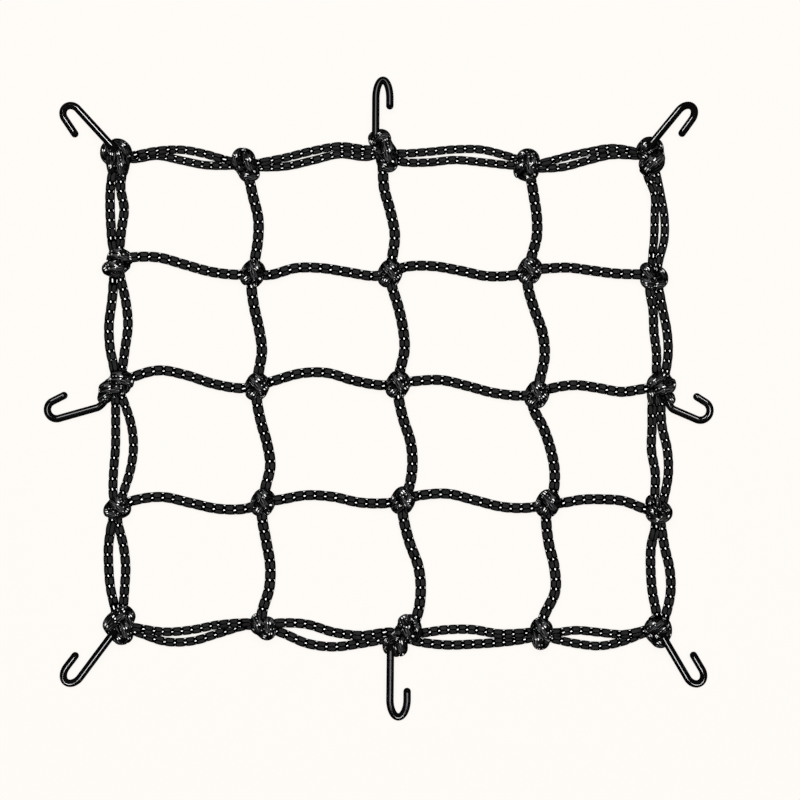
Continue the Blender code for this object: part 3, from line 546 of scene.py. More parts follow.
class Piece:
    """Gathers tubes into one mesh with its maps of the braid."""

    def __init__(self):
        self.verts, self.faces, self.skins = [], [], []
        self.braid, self.lay, self.tally = [], [], 0
        self.caps = []
        self.turns = []
        self.face_count = 0

    def tube(self, centres, side, out, wide, thick, v, turn=0.0, closed=False, knotted=0.0, height=relief, sides=SIDES, caps=True, shape=None, lie=None):
        """wide and thick are half widths; v counts the repeats, one more than the rings if closed."""
        rings = len(centres)
        k = np.arange(sides)
        angle = math.radians(turn) + 2 * math.pi * k / sides
        u = k * COLUMNS / sides
        bump = height(u[None, :], v[:rings, None]) if height else np.zeros((rings, sides))
        wide = np.broadcast_to(wide, rings)[:, None]
        thick = np.broadcast_to(thick, rings)[:, None]
        points = (
            centres[:, None, :]
            + side[:, None, :] * ((wide + bump) * np.sin(angle)[None, :])[:, :, None]
            + out[:, None, :] * ((thick + bump) * np.cos(angle)[None, :])[:, :, None]
        )
        if shape:
            points = shape(points)
        base = self.tally
        self.verts.append(points.reshape(-1, 3))
        self.tally += rings * sides
        spans = rings if closed else rings - 1
        i = np.repeat(np.arange(spans), sides)
        j = np.tile(k, spans)
        ni, nj = (i + 1) % rings, (j + 1) % sides
        quads = np.stack([i * sides + j, i * sides + nj, ni * sides + nj, ni * sides + j], axis=1) + base
        self.faces.append(quads)
        du = COLUMNS / sides
        self.braid.append(
            np.stack([np.stack([j * du, v[i]], 1), np.stack([(j + 1) * du, v[i]], 1), np.stack([(j + 1) * du, v[i + 1]], 1), np.stack([j * du, v[i + 1]], 1)], axis=1)
        )
        x = np.mod(turn / 360 + j / sides, 1.0) if lie is None else np.full(len(j), lie)
        flag = np.full(len(j), knotted)
        self.lay.append(
            np.stack([np.stack([x, flag], 1), np.stack([x + 1 / sides, flag], 1), np.stack([x + 1 / sides, flag], 1), np.stack([x, flag], 1)], axis=1)
        )
        if closed:
            self.turns.append((points.reshape(-1, 3), quads - base, self.lay[-1], rings, sides))
        s, length = along(centres, closed)
        around = math.pi * (float(wide.mean()) + float(thick.mean()))
        self.skins.append(Skin(self.face_count, spans, sides, around, s, length))
        self.face_count += len(quads)
        if caps and not closed:
            for ring, flip in ((0, True), (rings - 1, False)):
                hub = self.tally
                self.verts.append(centres[ring][None, :])
                self.tally += 1
                self.caps.append((hub, base + ring * sides, sides, flip))
        return points

    def painted_gap_shade(self, first, wire=None):
        """Adds painted gap shade to the knot flag of each turn from the given one, by how near it comes to the others
        and to the wire.
        """
        turns = self.turns[first:]
        for own, (points, _, lay, rings, sides) in enumerate(turns):
            others = [turn for k, turn in enumerate(turns) if k != own]
            shift = np.cumsum([0] + [len(turn[0]) for turn in others])
            tree = BVHTree.FromPolygons(
                np.vstack([turn[0] for turn in others]).tolist(),
                np.vstack([turn[1] + s for turn, s in zip(others, shift)]).tolist(),
            )
            found = [tree.find_nearest(p, PAINTED_SHADE_REACH)[3] for p in points.tolist()]
            near = np.array([PAINTED_SHADE_REACH if gap is None else gap for gap in found])
            if wire is not None:
                gap = np.linalg.norm(points[:, None, :] - wire[None, ::2, :], axis=2).min(axis=1) - WIRE / 2
                near = np.minimum(near, gap)
            mark = (1.0 - ease(near / PAINTED_SHADE_REACH)).reshape(rings, sides)
            ring, corner = np.roll(mark, -1, axis=0), np.roll(mark, -1, axis=1)
            both = np.roll(ring, -1, axis=1)
            for n, found in enumerate((mark, corner, both, ring)):
                lay[:, n, 1] += found.ravel()

    def object(self, name, material, replaced):
        verts = np.vstack(self.verts) * MM
        quads = np.vstack(self.faces)
        triangles = []
        for hub, first, sides, flip in self.caps:
            k = np.arange(sides)
            a, b = first + k, first + (k + 1) % sides
            triangles.append(np.stack([np.full(sides, hub), b, a] if flip else [np.full(sides, hub), a, b], axis=1))
        extra = np.vstack(triangles) if triangles else np.zeros((0, 3), int)
        mesh = bpy.data.meshes.new(name)
        mesh.vertices.add(len(verts))
        mesh.vertices.foreach_set("co", verts.astype(np.float32).ravel())
        corners = np.concatenate([quads.ravel(), extra.ravel()]).astype(np.int32)
        mesh.loops.add(len(corners))
        mesh.loops.foreach_set("vertex_index", corners)
        mesh.polygons.add(len(quads) + len(extra))
        starts = np.concatenate([np.arange(len(quads)) * 4, len(quads) * 4 + np.arange(len(extra)) * 3]).astype(np.int32)
        mesh.polygons.foreach_set("loop_start", starts)
        mesh.update(calc_edges=True)
        mesh.validate()
        mesh.polygons.foreach_set("use_smooth", np.ones(len(mesh.polygons), bool))
        count = len(extra) * 3
        bake, spare = self.lay_out()
        still = np.zeros((count, 2))
        for title, quad_uv, cap_uv in (
            ("OFBake", bake, spare),
            ("Braid", np.vstack(self.braid).reshape(-1, 2), still + 0.5),
            ("Lay", np.vstack(self.lay).reshape(-1, 2), still),
        ):
            layer = mesh.uv_layers.new(name=title)
            layer.data.foreach_set("uv", np.vstack([quad_uv, cap_uv]).astype(np.float32).ravel())
        mesh.materials.append(material)
        thing = bpy.data.objects.new(name, mesh)
        bpy.context.scene.collection.objects.link(thing)
        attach(thing, "root")
        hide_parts(replaced)
        return thing

    def lay_out(self):
        """Flat places in the unit square: each skin cut into strips, in rows, and the ends as small rounds."""
        gap, round_size = 0.5, 4.0

        def strips(height):
            found = []
            for n, skin in enumerate(self.skins):
                cuts = max(1, math.ceil(skin.length / (height - gap)))
                edges = np.linspace(0, skin.rings, cuts + 1).round().astype(int)
                found += [(n, a, b, skin.wide) for a, b in zip(edges, edges[1:])]
            return found

        def place(rows, scale):
            height, width = 1 / rows / scale, 1 / scale
            if height <= round_size + gap:
                return None
            spots, x, row = [], 0.0, 0
            for item in strips(height):
                if x + item[3] + gap > width:
                    x, row = 0.0, row + 1
                spots.append((*item, x, row))
                x += item[3] + gap
            ends = []
            for _ in self.caps:
                if x + round_size + gap > width:
                    x, row = 0.0, row + 1
                ends.append((x, row))
                x += round_size + gap
            return (spots, ends, height) if row < rows else None

        best = None
        for rows in range(1, 14):
            low, high = 0.0005, 0.2
            for _ in range(24):
                middle = (low + high) / 2
                low, high = (middle, high) if place(rows, middle) else (low, middle)
            if best is None or low > best[1]:
                if place(rows, low):
                    best = (rows, low)
        rows, scale = best
        spots, ends, height = place(rows, scale)
        uv = np.zeros((self.face_count, 4, 2))
        for n, a, b, wide, x, row in spots:
            skin = self.skins[n]
            i = np.repeat(np.arange(a, b), skin.closed)
            j = np.tile(np.arange(skin.closed), b - a)
            face = skin.start + i * skin.closed + j
            tall = (skin.s[i] - skin.s[a], skin.s[i + 1] - skin.s[a])
            fit = min(1.0, (height - gap) / (skin.s[b] - skin.s[a]))
            for corner, (dj, di) in enumerate(((0, 0), (1, 0), (1, 1), (0, 1))):
                uv[face, corner, 0] = (x + gap / 2 + (j + dj) / skin.closed * wide) * scale
                uv[face, corner, 1] = (row * height + gap / 2 + tall[di] * fit) * scale
        spare = []
        for (hub, first, sides, flip), (x, row) in zip(self.caps, ends):
            centre = np.array((x + gap / 2 + round_size / 2, row * height + gap / 2 + round_size / 2))
            k = np.arange(sides)
            ring = centre + round_size / 2 * np.stack([np.cos(2 * np.pi * k / sides), np.sin(2 * np.pi * k / sides)], axis=1)
            nxt = np.roll(ring, -1, axis=0)
            mid = np.tile(centre, (sides, 1))
            spare.append(np.stack([mid, nxt, ring] if flip else [mid, ring, nxt], axis=1).reshape(-1, 2) * scale)
        return uv.reshape(-1, 2), np.vstack(spare) if spare else np.zeros((0, 2))


def sheathe(piece, path, diameter, lie):
    """An open cord along a path, its braid laid as the row of the braid table says."""
    s, length = along(path * (1.0, 1.0, 0.0))
    first = math.ceil((0.0 - lie.shift) / lie.pitch * STEPS + 0.25)
    last = math.floor((length - lie.shift) / lie.pitch * STEPS - 0.25)
    marks = np.arange(first, last + 1) / STEPS
    v = np.concatenate([[-lie.shift / lie.pitch], marks, [(length - lie.shift) / lie.pitch]])
    at = v * lie.pitch + lie.shift
    centres = np.stack([np.interp(at, s, path[:, c]) for c in range(3)], axis=1)
    side, out = frames(centres, None)
    r = diameter / 2
    return piece.tube(centres, side, out, r, r, v + 40, lie.turn)


def turn_path(place, row, count):
    """Centreline of one closed turn, from the middle of its top towards its heading."""
    way = math.radians(row.heading)
    ahead = np.array((math.cos(way), math.sin(way), 0.0))
    right = np.array((ahead[1], -ahead[0], 0.0))
    phi = math.pi / 2 - np.linspace(0.0, 2 * math.pi, count, endpoint=False)
    c, d = np.cos(phi), np.sin(phi)
    square = 2 / 2.2
    x = np.sign(c) * np.abs(c) ** square
    z = np.sign(d) * np.abs(d) ** square
    middle, rise = (row.top + row.low) / 2, (row.top - row.low) / 2
    path = place + np.array((row.dx, row.dy, 0.0)) + ahead * (row.half * x)[:, None]
    path = path + right * (row.bend * c**2 + row.lean * d)[:, None] + UP * (middle + rise * z)[:, None]
    return path, right


def add_turn(piece, place, row, lobes):
    path, right = turn_path(place, row, 720)
    s, length = along(path, closed=True)
    repeats = max(3, round(length / PITCH))
    pitch = length / repeats
    rings = repeats * STEPS
    v = np.arange(rings + 1) / STEPS
    at = np.mod(row.fleck + v[:rings] * pitch, length)
    looped = np.vstack([path, path[:1]])
    centres = np.stack([np.interp(at, s, looped[:, c]) for c in range(3)], axis=1)
    side, out = frames(centres, right, closed=True)
    # a turn is broad over the top and drawn in where it dives at its ends
    run = (centres - place)[:, :2] - (row.dx, row.dy)
    way = math.radians(row.heading)
    reach = np.clip((run @ (math.cos(way), math.sin(way))) / row.half, -1.0, 1.0)
    wide = row.wide * (1.02 if row.top < 8.2 else 1.12) * np.sqrt(1.0 - 0.46 * np.abs(reach) ** 2.8)
    thick = row.thick * (1.0 - 0.12 * reach**2)
    piece.tube(centres, side, out, wide, thick, v + 40, row.column, closed=True, knotted=1.0, height=worn_relief, shape=rounded(place, lobes))


def lobe_frame(place, lobe):
    """Middle of a lobe, its half height, and the directions of its two half widths."""
    tall = min(max(min(lobe.rx, lobe.ry), 3.2), 5.8)
    turn = math.radians(lobe.turn)
    right, up = np.array((math.cos(turn), math.sin(turn), 0.0)), np.array((-math.sin(turn), math.cos(turn), 0.0))
    return place + (lobe.dx, lobe.dy, tall - 0.6), tall, right, up


def rounded(place, lobes):
    """Draws points in towards the lobes of a knot where they stand out of them."""

    def shape(points):
        total, sum_of = 0.0, 0.0
        for lobe in lobes:
            middle, tall, right, up = lobe_frame(place, lobe)
            away = (points - middle) * (1.0, 1.0, 0.0)
            x, y = away @ right / lobe.rx, away @ up / lobe.ry
            size = np.maximum((np.abs(x) ** 2.2 + np.abs(y) ** 2.2) ** (1 / 2.2), 0.01)
            over = np.maximum(size - 0.86, 0.0)
            drawn = np.where(size > 0.86, 0.86 + 0.16 * (1.0 - np.exp(-over / 0.16)), size)
            share = size**-9.0
            total = total + share
            sum_of = sum_of + (middle + away * (drawn / size)[..., None]) * share[..., None]
        drawn_in = sum_of / total[..., None]
        # the backs of the turns fall away with the knot's own dome
        rim = np.clip(np.exp(-np.log(total) / 9.0), 0.0, 1.0)
        drawn_in[..., 2] = np.maximum(points[..., 2] * (1.0 - 0.16 * rim**3), 0.06)
        return drawn_in

    return shape


def add_core(piece, place, lobe):
    """The inside of a knot, seen only as the dark between its turns."""
    middle, tall, right, up = lobe_frame(place, lobe)
    turns = np.radians(np.linspace(-84, 84, 15))
    centres = middle + right * (np.sin(turns) * lobe.rx * 0.93)[:, None] - UP * 0.3
    size = np.cos(turns)
    side, out = np.tile(-up, (len(turns), 1)), np.tile(UP, (len(turns), 1))
    v = np.linspace(0.3, 0.7, len(turns))
    # lie 0.17 puts the whole core part way into the painted side shade of the cord material
    piece.tube(centres, side, out, size * lobe.ry * 0.93, size * tall * 0.18, v + 40, 0.0, knotted=1.0, height=None, sides=18, lie=0.17)


def worn_relief(u, v):
    """The braid in a knot, drawn tighter and flatter."""
    return relief(u, v) * 0.75


# ------------------------------------------------------------------ materials
class Net:
    """Short hand for node trees."""

    def __init__(self, name):
        self.material = bpy.data.materials.new(name)
        self.material.use_nodes = True
        self.nodes = self.material.node_tree.nodes
        self.links = self.material.node_tree.links
        self.nodes.clear()

    def node(self, kind, settings=None, **inputs):
        made = self.nodes.new(kind)
        for key, value in (settings or {}).items():
            setattr(made, key, value)
        for key, value in inputs.items():
            self.feed(made.inputs[key.replace("_", " ")], value)
        return made

    def feed(self, socket, value):
        if isinstance(value, bpy.types.NodeSocket):
            self.links.new(value, socket)
        elif value is not None:
            socket.default_value = value

    def math(self, operation, a, b=None, c=None, clamp=False):
        made = self.nodes.new("ShaderNodeMath")
        made.operation = operation
        made.use_clamp = clamp
        for socket, value in zip(made.inputs, (a, b, c)):
            self.feed(socket, value)
        return made.outputs[0]

    def ramp(self, value, start, end, low=0.0, high=1.0, kind="SMOOTHSTEP"):
        made = self.nodes.new("ShaderNodeMapRange")
        made.interpolation_type = kind
        for key, given in (("Value", value), ("From Min", start), ("From Max", end), ("To Min", low), ("To Max", high)):
            self.feed(made.inputs[key], given)
        return made.outputs["Result"]

    def pair(self, x, y, z=0.0):
        made = self.nodes.new("ShaderNodeCombineXYZ")
        for socket, value in zip(made.inputs, (x, y, z)):
            self.feed(socket, value)
        return made.outputs[0]

    def noise(self, vector, scale, detail=2.0, rough=0.5):
        made = self.node("ShaderNodeTexNoise", {"noise_dimensions": "3D"}, Vector=vector, Scale=scale, Detail=detail, Roughness=rough)
        return made.outputs["Fac"]

    def blend(self, share, a, b):
        made = self.nodes.new("ShaderNodeMix")
        made.data_type = "RGBA"
        self.feed(made.inputs["Factor"], share)
        self.feed([i for i in made.inputs if i.name == "A" and i.type == "RGBA"][0], a)
        self.feed([i for i in made.inputs if i.name == "B" and i.type == "RGBA"][0], b)
        return [o for o in made.outputs if o.type == "RGBA"][0]


def cord_material():
    n = Net("braided_cord")
    braid = n.node("ShaderNodeSeparateXYZ", Vector=n.node("ShaderNodeUVMap", {"uv_map": "Braid"}).outputs[0]).outputs
    lay = n.node("ShaderNodeSeparateXYZ", Vector=n.node("ShaderNodeUVMap", {"uv_map": "Lay"}).outputs[0]).outputs
    u, v, lie = braid[0], braid[1], lay[0]
    knotted = n.math("MINIMUM", lay[1], 1.0)
    # painted shade: above 1 the Lay map's second count is the painted shade of the gaps where turns and the wire come
    # close
    painted_gap_shade = n.math("MAXIMUM", n.math("SUBTRACT", lay[1], 1.0), 0.0)
    coords = n.node("ShaderNodeTexCoord").outputs["Object"]

    # where the point is from the nearest fleck and the nearest plait
    ru, rv = n.math("ROUND", u), n.math("ROUND", v)
    du, dv = n.math("SUBTRACT", u, ru), n.math("SUBTRACT", v, rv)
    pu = n.math("SUBTRACT", n.math("FRACT", u), 0.5)
    pv = n.math("SUBTRACT", n.math("FRACT", v), 0.5)
    chance = n.node(
        "ShaderNodeTexWhiteNoise",
        {"noise_dimensions": "3D"},
        Vector=n.pair(n.math("FLOORED_MODULO", ru, float(COLUMNS)), rv, n.math("ROUND", n.math("MULTIPLY", n.noise(coords, 8.0, 0.0), 9.0))),
    )
    odds = n.node("ShaderNodeSeparateXYZ", Vector=chance.outputs["Color"]).outputs

    # one light fleck in a straight cord, a parted pair of longer ones in a knot
    wobble = n.math("MULTIPLY", n.math("SUBTRACT", n.noise(n.pair(u, v), 4.5, 2.0), 0.5), 0.10)
    slant = n.math("ADD", n.math("MULTIPLY_ADD", dv, n.math("MULTIPLY_ADD", odds[0], 0.5, 0.05), du), wobble)
    single = n.math(
        "ADD",
        n.math("POWER", n.math("DIVIDE", n.math("ABSOLUTE", slant), n.math("MULTIPLY_ADD", odds[1], 0.035, 0.091)), 4.0),
        n.math("POWER", n.math("DIVIDE", n.math("ABSOLUTE", dv), n.math("MULTIPLY_ADD", odds[2], 0.025, 0.075)), 4.0),
    )
    offset = n.math("SUBTRACT", n.math("ABSOLUTE", slant), 0.175)
    step = n.math("MULTIPLY_ADD", n.math("SIGN", slant), n.math("MULTIPLY", n.math("SUBTRACT", odds[1], 0.5), 0.10), dv)
    double = n.math(
        "ADD",
        n.math("POWER", n.math("DIVIDE", n.math("ABSOLUTE", offset), n.math("MULTIPLY_ADD", odds[2], 0.03, 0.058)), 4.0),
        n.math("POWER", n.math("DIVIDE", n.math("ABSOLUTE", step), n.math("MULTIPLY_ADD", odds[0], 0.05, 0.067)), 4.0),
    )
    parted = n.math("MULTIPLY", knotted, n.math("LESS_THAN", odds[0], 0.72))
    shape = n.math("ADD", n.math("MULTIPLY", single, n.math("SUBTRACT", 1.0, parted)), n.math("MULTIPLY", double, parted))
    # in a knot the side columns are rubbed small or turned away
    column = n.math("FLOORED_MODULO", ru, float(COLUMNS))
    beside = n.math("MULTIPLY", knotted, n.math("GREATER_THAN", column, 0.5))
    shape = n.math("MULTIPLY", shape, n.math("MULTIPLY_ADD", beside, 5.0, 1.0))
    lost = n.math("MULTIPLY", n.math("GREATER_THAN", column, 0.5), n.math("GREATER_THAN", odds[2], 0.58))
    fleck = n.math("MULTIPLY", n.ramp(shape, 1.5, 0.55), n.math("SUBTRACT", 1.0, n.math("MULTIPLY", lost, knotted)))
    dim = n.math("MULTIPLY_ADD", n.math("POWER", odds[1], 2.0), -0.30, 1.0)

    # and single threads of the flecks show as small specks between them
    gx, gy = n.math("MULTIPLY", lie, 25.0), n.math("MULTIPLY", v, 4.2)
    speck_odds = n.node("ShaderNodeSeparateXYZ", Vector=n.node(
        "ShaderNodeTexWhiteNoise",
        {"noise_dimensions": "3D"},
        Vector=n.pair(n.math("FLOOR", gx), n.math("FLOOR", gy), n.math("ROUND", n.math("MULTIPLY", n.noise(coords, 8.0, 0.0), 9.0))),
    ).outputs["Color"]).outputs
    sx = n.math("SUBTRACT", n.math("FRACT", gx), n.math("MULTIPLY_ADD", speck_odds[1], 0.3, 0.35))
    sy = n.math("SUBTRACT", n.math("FRACT", gy), n.math("MULTIPLY_ADD", speck_odds[2], 0.3, 0.35))
    speck = n.math(
        "ADD",
        n.math("POWER", n.math("DIVIDE", n.math("ABSOLUTE", sx), 0.26), 2.0),
        n.math("POWER", n.math("DIVIDE", n.math("ABSOLUTE", sy), 0.22), 2.0),
    )
    speck = n.math("MULTIPLY", n.ramp(speck, 1.4, 0.5), n.math("MULTIPLY", knotted, n.math("GREATER_THAN", speck_odds[0], 0.915)))
    fleck = n.math("MAXIMUM", fleck, n.math("MULTIPLY", speck, n.math("MULTIPLY_ADD", speck_odds[1], 0.5, 0.3)))

    # charcoal plaits with their own fibres
    edge = n.math("MULTIPLY", n.math("SUBTRACT", n.noise(n.pair(u, v), 6.0, 3.0), 0.5), 0.35)
    plait_shape = n.math(
        "ADD",
        n.math("ADD", n.math("POWER", n.math("DIVIDE", n.math("ABSOLUTE", pu), 0.385), 4.0), n.math("POWER", n.math("DIVIDE", n.math("ABSOLUTE", pv), 0.315), 4.0)),
        edge,
    )
    plait = n.math("MAXIMUM", n.ramp(plait_shape, 1.15, 0.75), n.math("MULTIPLY", knotted, 0.35))
    fibres = n.noise(n.pair(n.math("MULTIPLY_ADD", v, 2.6, n.math("MULTIPLY", u, 8.5)), n.math("MULTIPLY", v, 1.1)), 1.6, 3.0, 0.6)
    cross = n.noise(n.pair(n.math("MULTIPLY", u, 1.2), n.math("MULTIPLY", v, 9.0)), 1.5, 2.0)
    fibre = n.ramp(n.math("MULTIPLY_ADD", cross, 0.35, n.math("MULTIPLY", fibres, 0.65)), 0.36, 0.64, kind="LINEAR")
    patch = n.noise(coords, 160.0, 3.0)

    # fine pale streaks along the yarns on the shoulders of a turn where the cord is bent hard in a knot: partly pale
    # yarn, partly a painted sheen highlight
    shoulder = n.math("ABSOLUTE", n.math("SUBTRACT", n.math("ABSOLUTE", n.math("SUBTRACT", n.math("ABSOLUTE", n.math("SUBTRACT", lie, 0.5)), 0.5)), 0.12))
    shoulder = n.ramp(shoulder, 0.14, 0.03, 0.25, 1.0)
    yarn_and_sheen_streaks = n.noise(n.pair(n.math("MULTIPLY", lie, 44.0), n.math("MULTIPLY", v, 1.1)), 1.0, 1.0, 0.4)
    yarn_and_sheen_streaks = n.math("MULTIPLY", n.ramp(yarn_and_sheen_streaks, 0.55, 0.64), n.math("MULTIPLY", shoulder, knotted))
    mottle = n.noise(n.pair(n.math("MULTIPLY", lie, 38.0), n.math("MULTIPLY", v, 2.4)), 1.0, 2.0, 0.6)
    mottle = n.math("MULTIPLY_ADD", knotted, n.ramp(mottle, 0.46, 0.62, -0.97, -0.28), 1.0)

    tone = n.math("MULTIPLY", n.math("MULTIPLY_ADD", fibre, 0.9, 0.5), n.ramp(patch, 0.3, 0.7, 0.75, 1.2, "LINEAR"))
    tone = n.math("MULTIPLY_ADD", n.math("MULTIPLY", tone, n.math("MULTIPLY", plait, mottle)), 0.0156, 0.0001)
    # the streaks lighten the plait colour as a painted sheen
    tone = n.math("MULTIPLY_ADD", yarn_and_sheen_streaks, 0.08, tone)
    # painted shade: the sides of a turn, flecks too, are painted darker as they lie in the dark beside the next one,
    # and darker again in the painted gap shade
    from_top = n.math("SUBTRACT", 0.5, n.math("ABSOLUTE", n.math("SUBTRACT", lie, 0.5)))
    painted_shade = n.math("SUBTRACT", 1.0, n.math("MULTIPLY", knotted, n.ramp(from_top, 0.11, 0.215, 0.0, 0.985)))
    painted_shade = n.math("MULTIPLY", painted_shade, n.math("MULTIPLY_ADD", painted_gap_shade, -0.94, 1.0))
    tone = n.math("MULTIPLY", tone, painted_shade)
    dark = n.pair(tone, tone, n.math("MULTIPLY", tone, 1.04))
    glow = n.math("MULTIPLY", n.math("MULTIPLY_ADD", painted_shade, 0.75, 0.25), n.math("MULTIPLY", dim, n.math("MULTIPLY_ADD", fibre, 0.10, 0.86)))
    light = n.pair(glow, glow, n.math("MULTIPLY", glow, 0.985))
    colour = n.blend(fleck, dark, light)

    rough = n.math("MULTIPLY_ADD", fleck, -0.18, n.math("MULTIPLY_ADD", fibre, 0.12, 0.52))
    height = n.math("ADD", n.math("MULTIPLY", fibre, n.math("MULTIPLY_ADD", plait, 0.8, 0.2)), n.math("MULTIPLY", yarn_and_sheen_streaks, 0.8))
    bump = n.node("ShaderNodeBump", Strength=0.55, Distance=0.00007, Height=height)
    shader = n.node("ShaderNodeBsdfPrincipled", Normal=bump.outputs[0])
    n.feed(shader.inputs["Base Color"], colour)
    n.feed(shader.inputs["Roughness"], rough)
    shader.inputs["Specular IOR Level"].default_value = 0.0
    out = n.node("ShaderNodeOutputMaterial")
    n.links.new(shader.outputs[0], out.inputs["Surface"])
    n.material.diffuse_color = (0.02, 0.02, 0.021, 1.0)
    return n.material


def wire_material():
    n = Net("coated_wire")
    coords = n.node("ShaderNodeTexCoord").outputs["Object"]
    braid = n.node("ShaderNodeSeparateXYZ", Vector=n.node("ShaderNodeUVMap", {"uv_map": "Braid"}).outputs[0]).outputs
    cloud = n.noise(coords, 90.0, 3.0)
    grain = n.noise(coords, 1400.0, 2.0)
    drawn = n.noise(n.pair(n.math("MULTIPLY", braid[0], 9.0), n.math("MULTIPLY", braid[1], 0.35)), 1.0, 2.0)
    rubs = n.ramp(n.noise(n.pair(n.math("MULTIPLY", braid[0], 2.2), n.math("MULTIPLY", braid[1], 1.1)), 1.7, 4.0, 0.65), 0.60, 0.72)
    tone = n.ramp(cloud, 0.3, 0.7, 0.0014, 0.0030, "LINEAR")
    tone = n.math("MULTIPLY_ADD", rubs, 0.002, tone)
    rough = n.math("MULTIPLY_ADD", rubs, 0.10, n.ramp(cloud, 0.3, 0.7, 0.09, 0.11, "LINEAR"))
    height = n.math("MULTIPLY_ADD", grain, 0.25, n.math("MULTIPLY", drawn, 0.75))
    bump = n.node("ShaderNodeBump", Strength=0.02, Distance=0.00001, Height=height)
    shader = n.node("ShaderNodeBsdfPrincipled", Normal=bump.outputs[0])
    n.feed(shader.inputs["Base Color"], n.pair(tone, tone, n.math("MULTIPLY", tone, 1.03)))
    n.feed(shader.inputs["Roughness"], rough)
    shader.inputs["Specular IOR Level"].default_value = 0.5
    out = n.node("ShaderNodeOutputMaterial")
    n.links.new(shader.outputs[0], out.inputs["Surface"])
    n.material.diffuse_color = (0.01, 0.01, 0.011, 1.0)
    return n.material


CORD = cord_material()
COATING = wire_material()


# ------------------------------------------------------------------ build the net
def hook_path(hook):
    """Centreline from the root inside the knot to the tip, in fine steps."""
    way = math.radians(hook.heading)
    out = np.array((math.cos(way), math.sin(way), 0.0))
    left = np.array((-out[1], out[0], 0.0)) * hook.side
    start = np.array((hook.x, hook.y, 0.0))
    back = math.radians(hook.heading + 180 + hook.root_turn)
    root = start + np.array((math.cos(back), math.sin(back), 0.0)) * hook.root
    if hook.root_turn:
        bent = [root, root + (start - root) * 0.7, start + out * 0.8]
        t = np.linspace(0.0, 1.0, 13)[:-1, None]
        soft = (1 - t) ** 2 * bent[0] + 2 * t * (1 - t) * (root + (start - root) * 0.92) + t**2 * (start + out * 2.2)
        points = list(soft) + [start + out * 2.2]
        rest = 2.2
    else:
        points = [root + (start - root) * k / 24 for k in range(25)]
        rest = 0.0
    for k in range(1, 25):
        points.append(start + out * (rest + (hook.shank - rest) * k / 24))
    centre = points[-1] + left * hook.radius
    sweep = math.radians(hook.sweep)
    for k in range(1, 49):
        a = sweep * k / 48
        points.append(centre - left * hook.radius * math.cos(a) + out * hook.rise * math.sin(a))
    away = out * hook.rise * math.cos(sweep) + left * hook.radius * math.sin(sweep)
    away /= np.linalg.norm(away)
    bend_end = points[-1]
    for k in range(1, 11):
        points.append(bend_end + away * hook.tip * k / 10)
    points = np.array(points)
    low = WIRE / 2 + 0.05
    reach = (points - root) @ out
    high = ROOT_HEIGHT if hook.root_turn else CREST_HEIGHT
    points[:, 2] = low + (high - low) * (1.0 - np.maximum(reach, 0.0) / reach.max())
    # a straight wire lies over the lower turns of its knot and dives at its end
    if not hook.root_turn:
        points[:, 2] -= 4.6 * ease((1.6 - reach) / 1.8)
    return points


WIRE_PATH = {hook.knot: hook_path(hook) for hook in HOOKS}


def knot_turns(name):
    if name in KNOT_TURNS:
        return KNOT_TURNS[name]
    spin = math.radians(MESH_SPIN[name].spin)
    shift = MESH_SPIN[name].fleck
    rows = []
    for k, row in enumerate(MESH_TURNS):
        x = row.dx * math.cos(spin) - row.dy * math.sin(spin)
        y = row.dx * math.sin(spin) + row.dy * math.cos(spin)
        rows.append(row._replace(dx=x, dy=y, heading=row.heading + MESH_SPIN[name].spin, fleck=row.fleck + (shift if k == 0 else shift * 0.4)))
    return rows


for knot in KNOTS:
    if knot.name[0] in "bcd" and knot.name[1] in "234":
        continue
    piece = Piece()
    for row in knot_turns(knot.name):
        add_turn(piece, PLACE[knot.name], row, LOBES[knot.name])
    piece.painted_gap_shade(0, WIRE_PATH.get(knot.name))
    for lobe in LOBES[knot.name]:
        add_core(piece, PLACE[knot.name], lobe)
    piece.object("turns_" + knot.name, CORD, "knot_" + knot.name)

for column in "234":
    piece = Piece()
    for first, second in zip("abcd", "bcde"):
        run = "%s%s_%s%s" % (first, column, second, column)
        sheathe(piece, mesh_run(run, LENGTH_RUNS[run], LENGTH_CORD), LENGTH_CORD, BRAID[run])
    for row_name in "bcd":
        for row in knot_turns(row_name + column):
            add_turn(piece, PLACE[row_name + column], row, MESH_LOBES)
        piece.painted_gap_shade(len(MESH_TURNS) * "bcd".index(row_name))
        add_core(piece, PLACE[row_name + column], MESH_LOBES[0])
    piece.object("lengthwise_" + column, CORD, "mesh_lengthwise_" + column)

for run, bow in CROSS_RUNS.items():
    piece = Piece()
    sheathe(piece, mesh_run(run, bow, CROSS_CORD), CROSS_CORD, BRAID[run])
    piece.object("crosswise_" + run, CORD, "mesh_crosswise_" + run)

for run, pair in BORDER_RUNS.items():
    piece = Piece()
    for strand, path in zip(("one", "two"), border_run(run, pair)):
        sheathe(piece, path, pair.cord, BRAID[run + "_" + strand])
    piece.object("edge_" + run, CORD, "border_" + run)


# ------------------------------------------------------------------ hooks
for hook in HOOKS:
    piece = Piece()
    path = WIRE_PATH[hook.knot]
    r = WIRE / 2
    side, out = frames(path, None)
    ahead = path[-1] - path[-2]
    ahead /= np.linalg.norm(ahead)
    turns = np.radians([12, 24, 36, 48, 60, 71, 80, 86])
    dome = path[-1] + ahead * (r * np.sin(turns))[:, None]
    centres = np.vstack([path, dome])
    side = np.vstack([side, np.tile(side[-1], (len(turns), 1))])
    out = np.vstack([out, np.tile(out[-1], (len(turns), 1))])
    size = np.concatenate([np.full(len(path), r), r * np.cos(turns)])
    s, _ = along(centres)
    piece.tube(centres, side, out, size, size, s / PITCH, 0.0, height=None, sides=28)
    piece.object("wire_" + hook.knot, COATING, "hook_" + hook.knot)


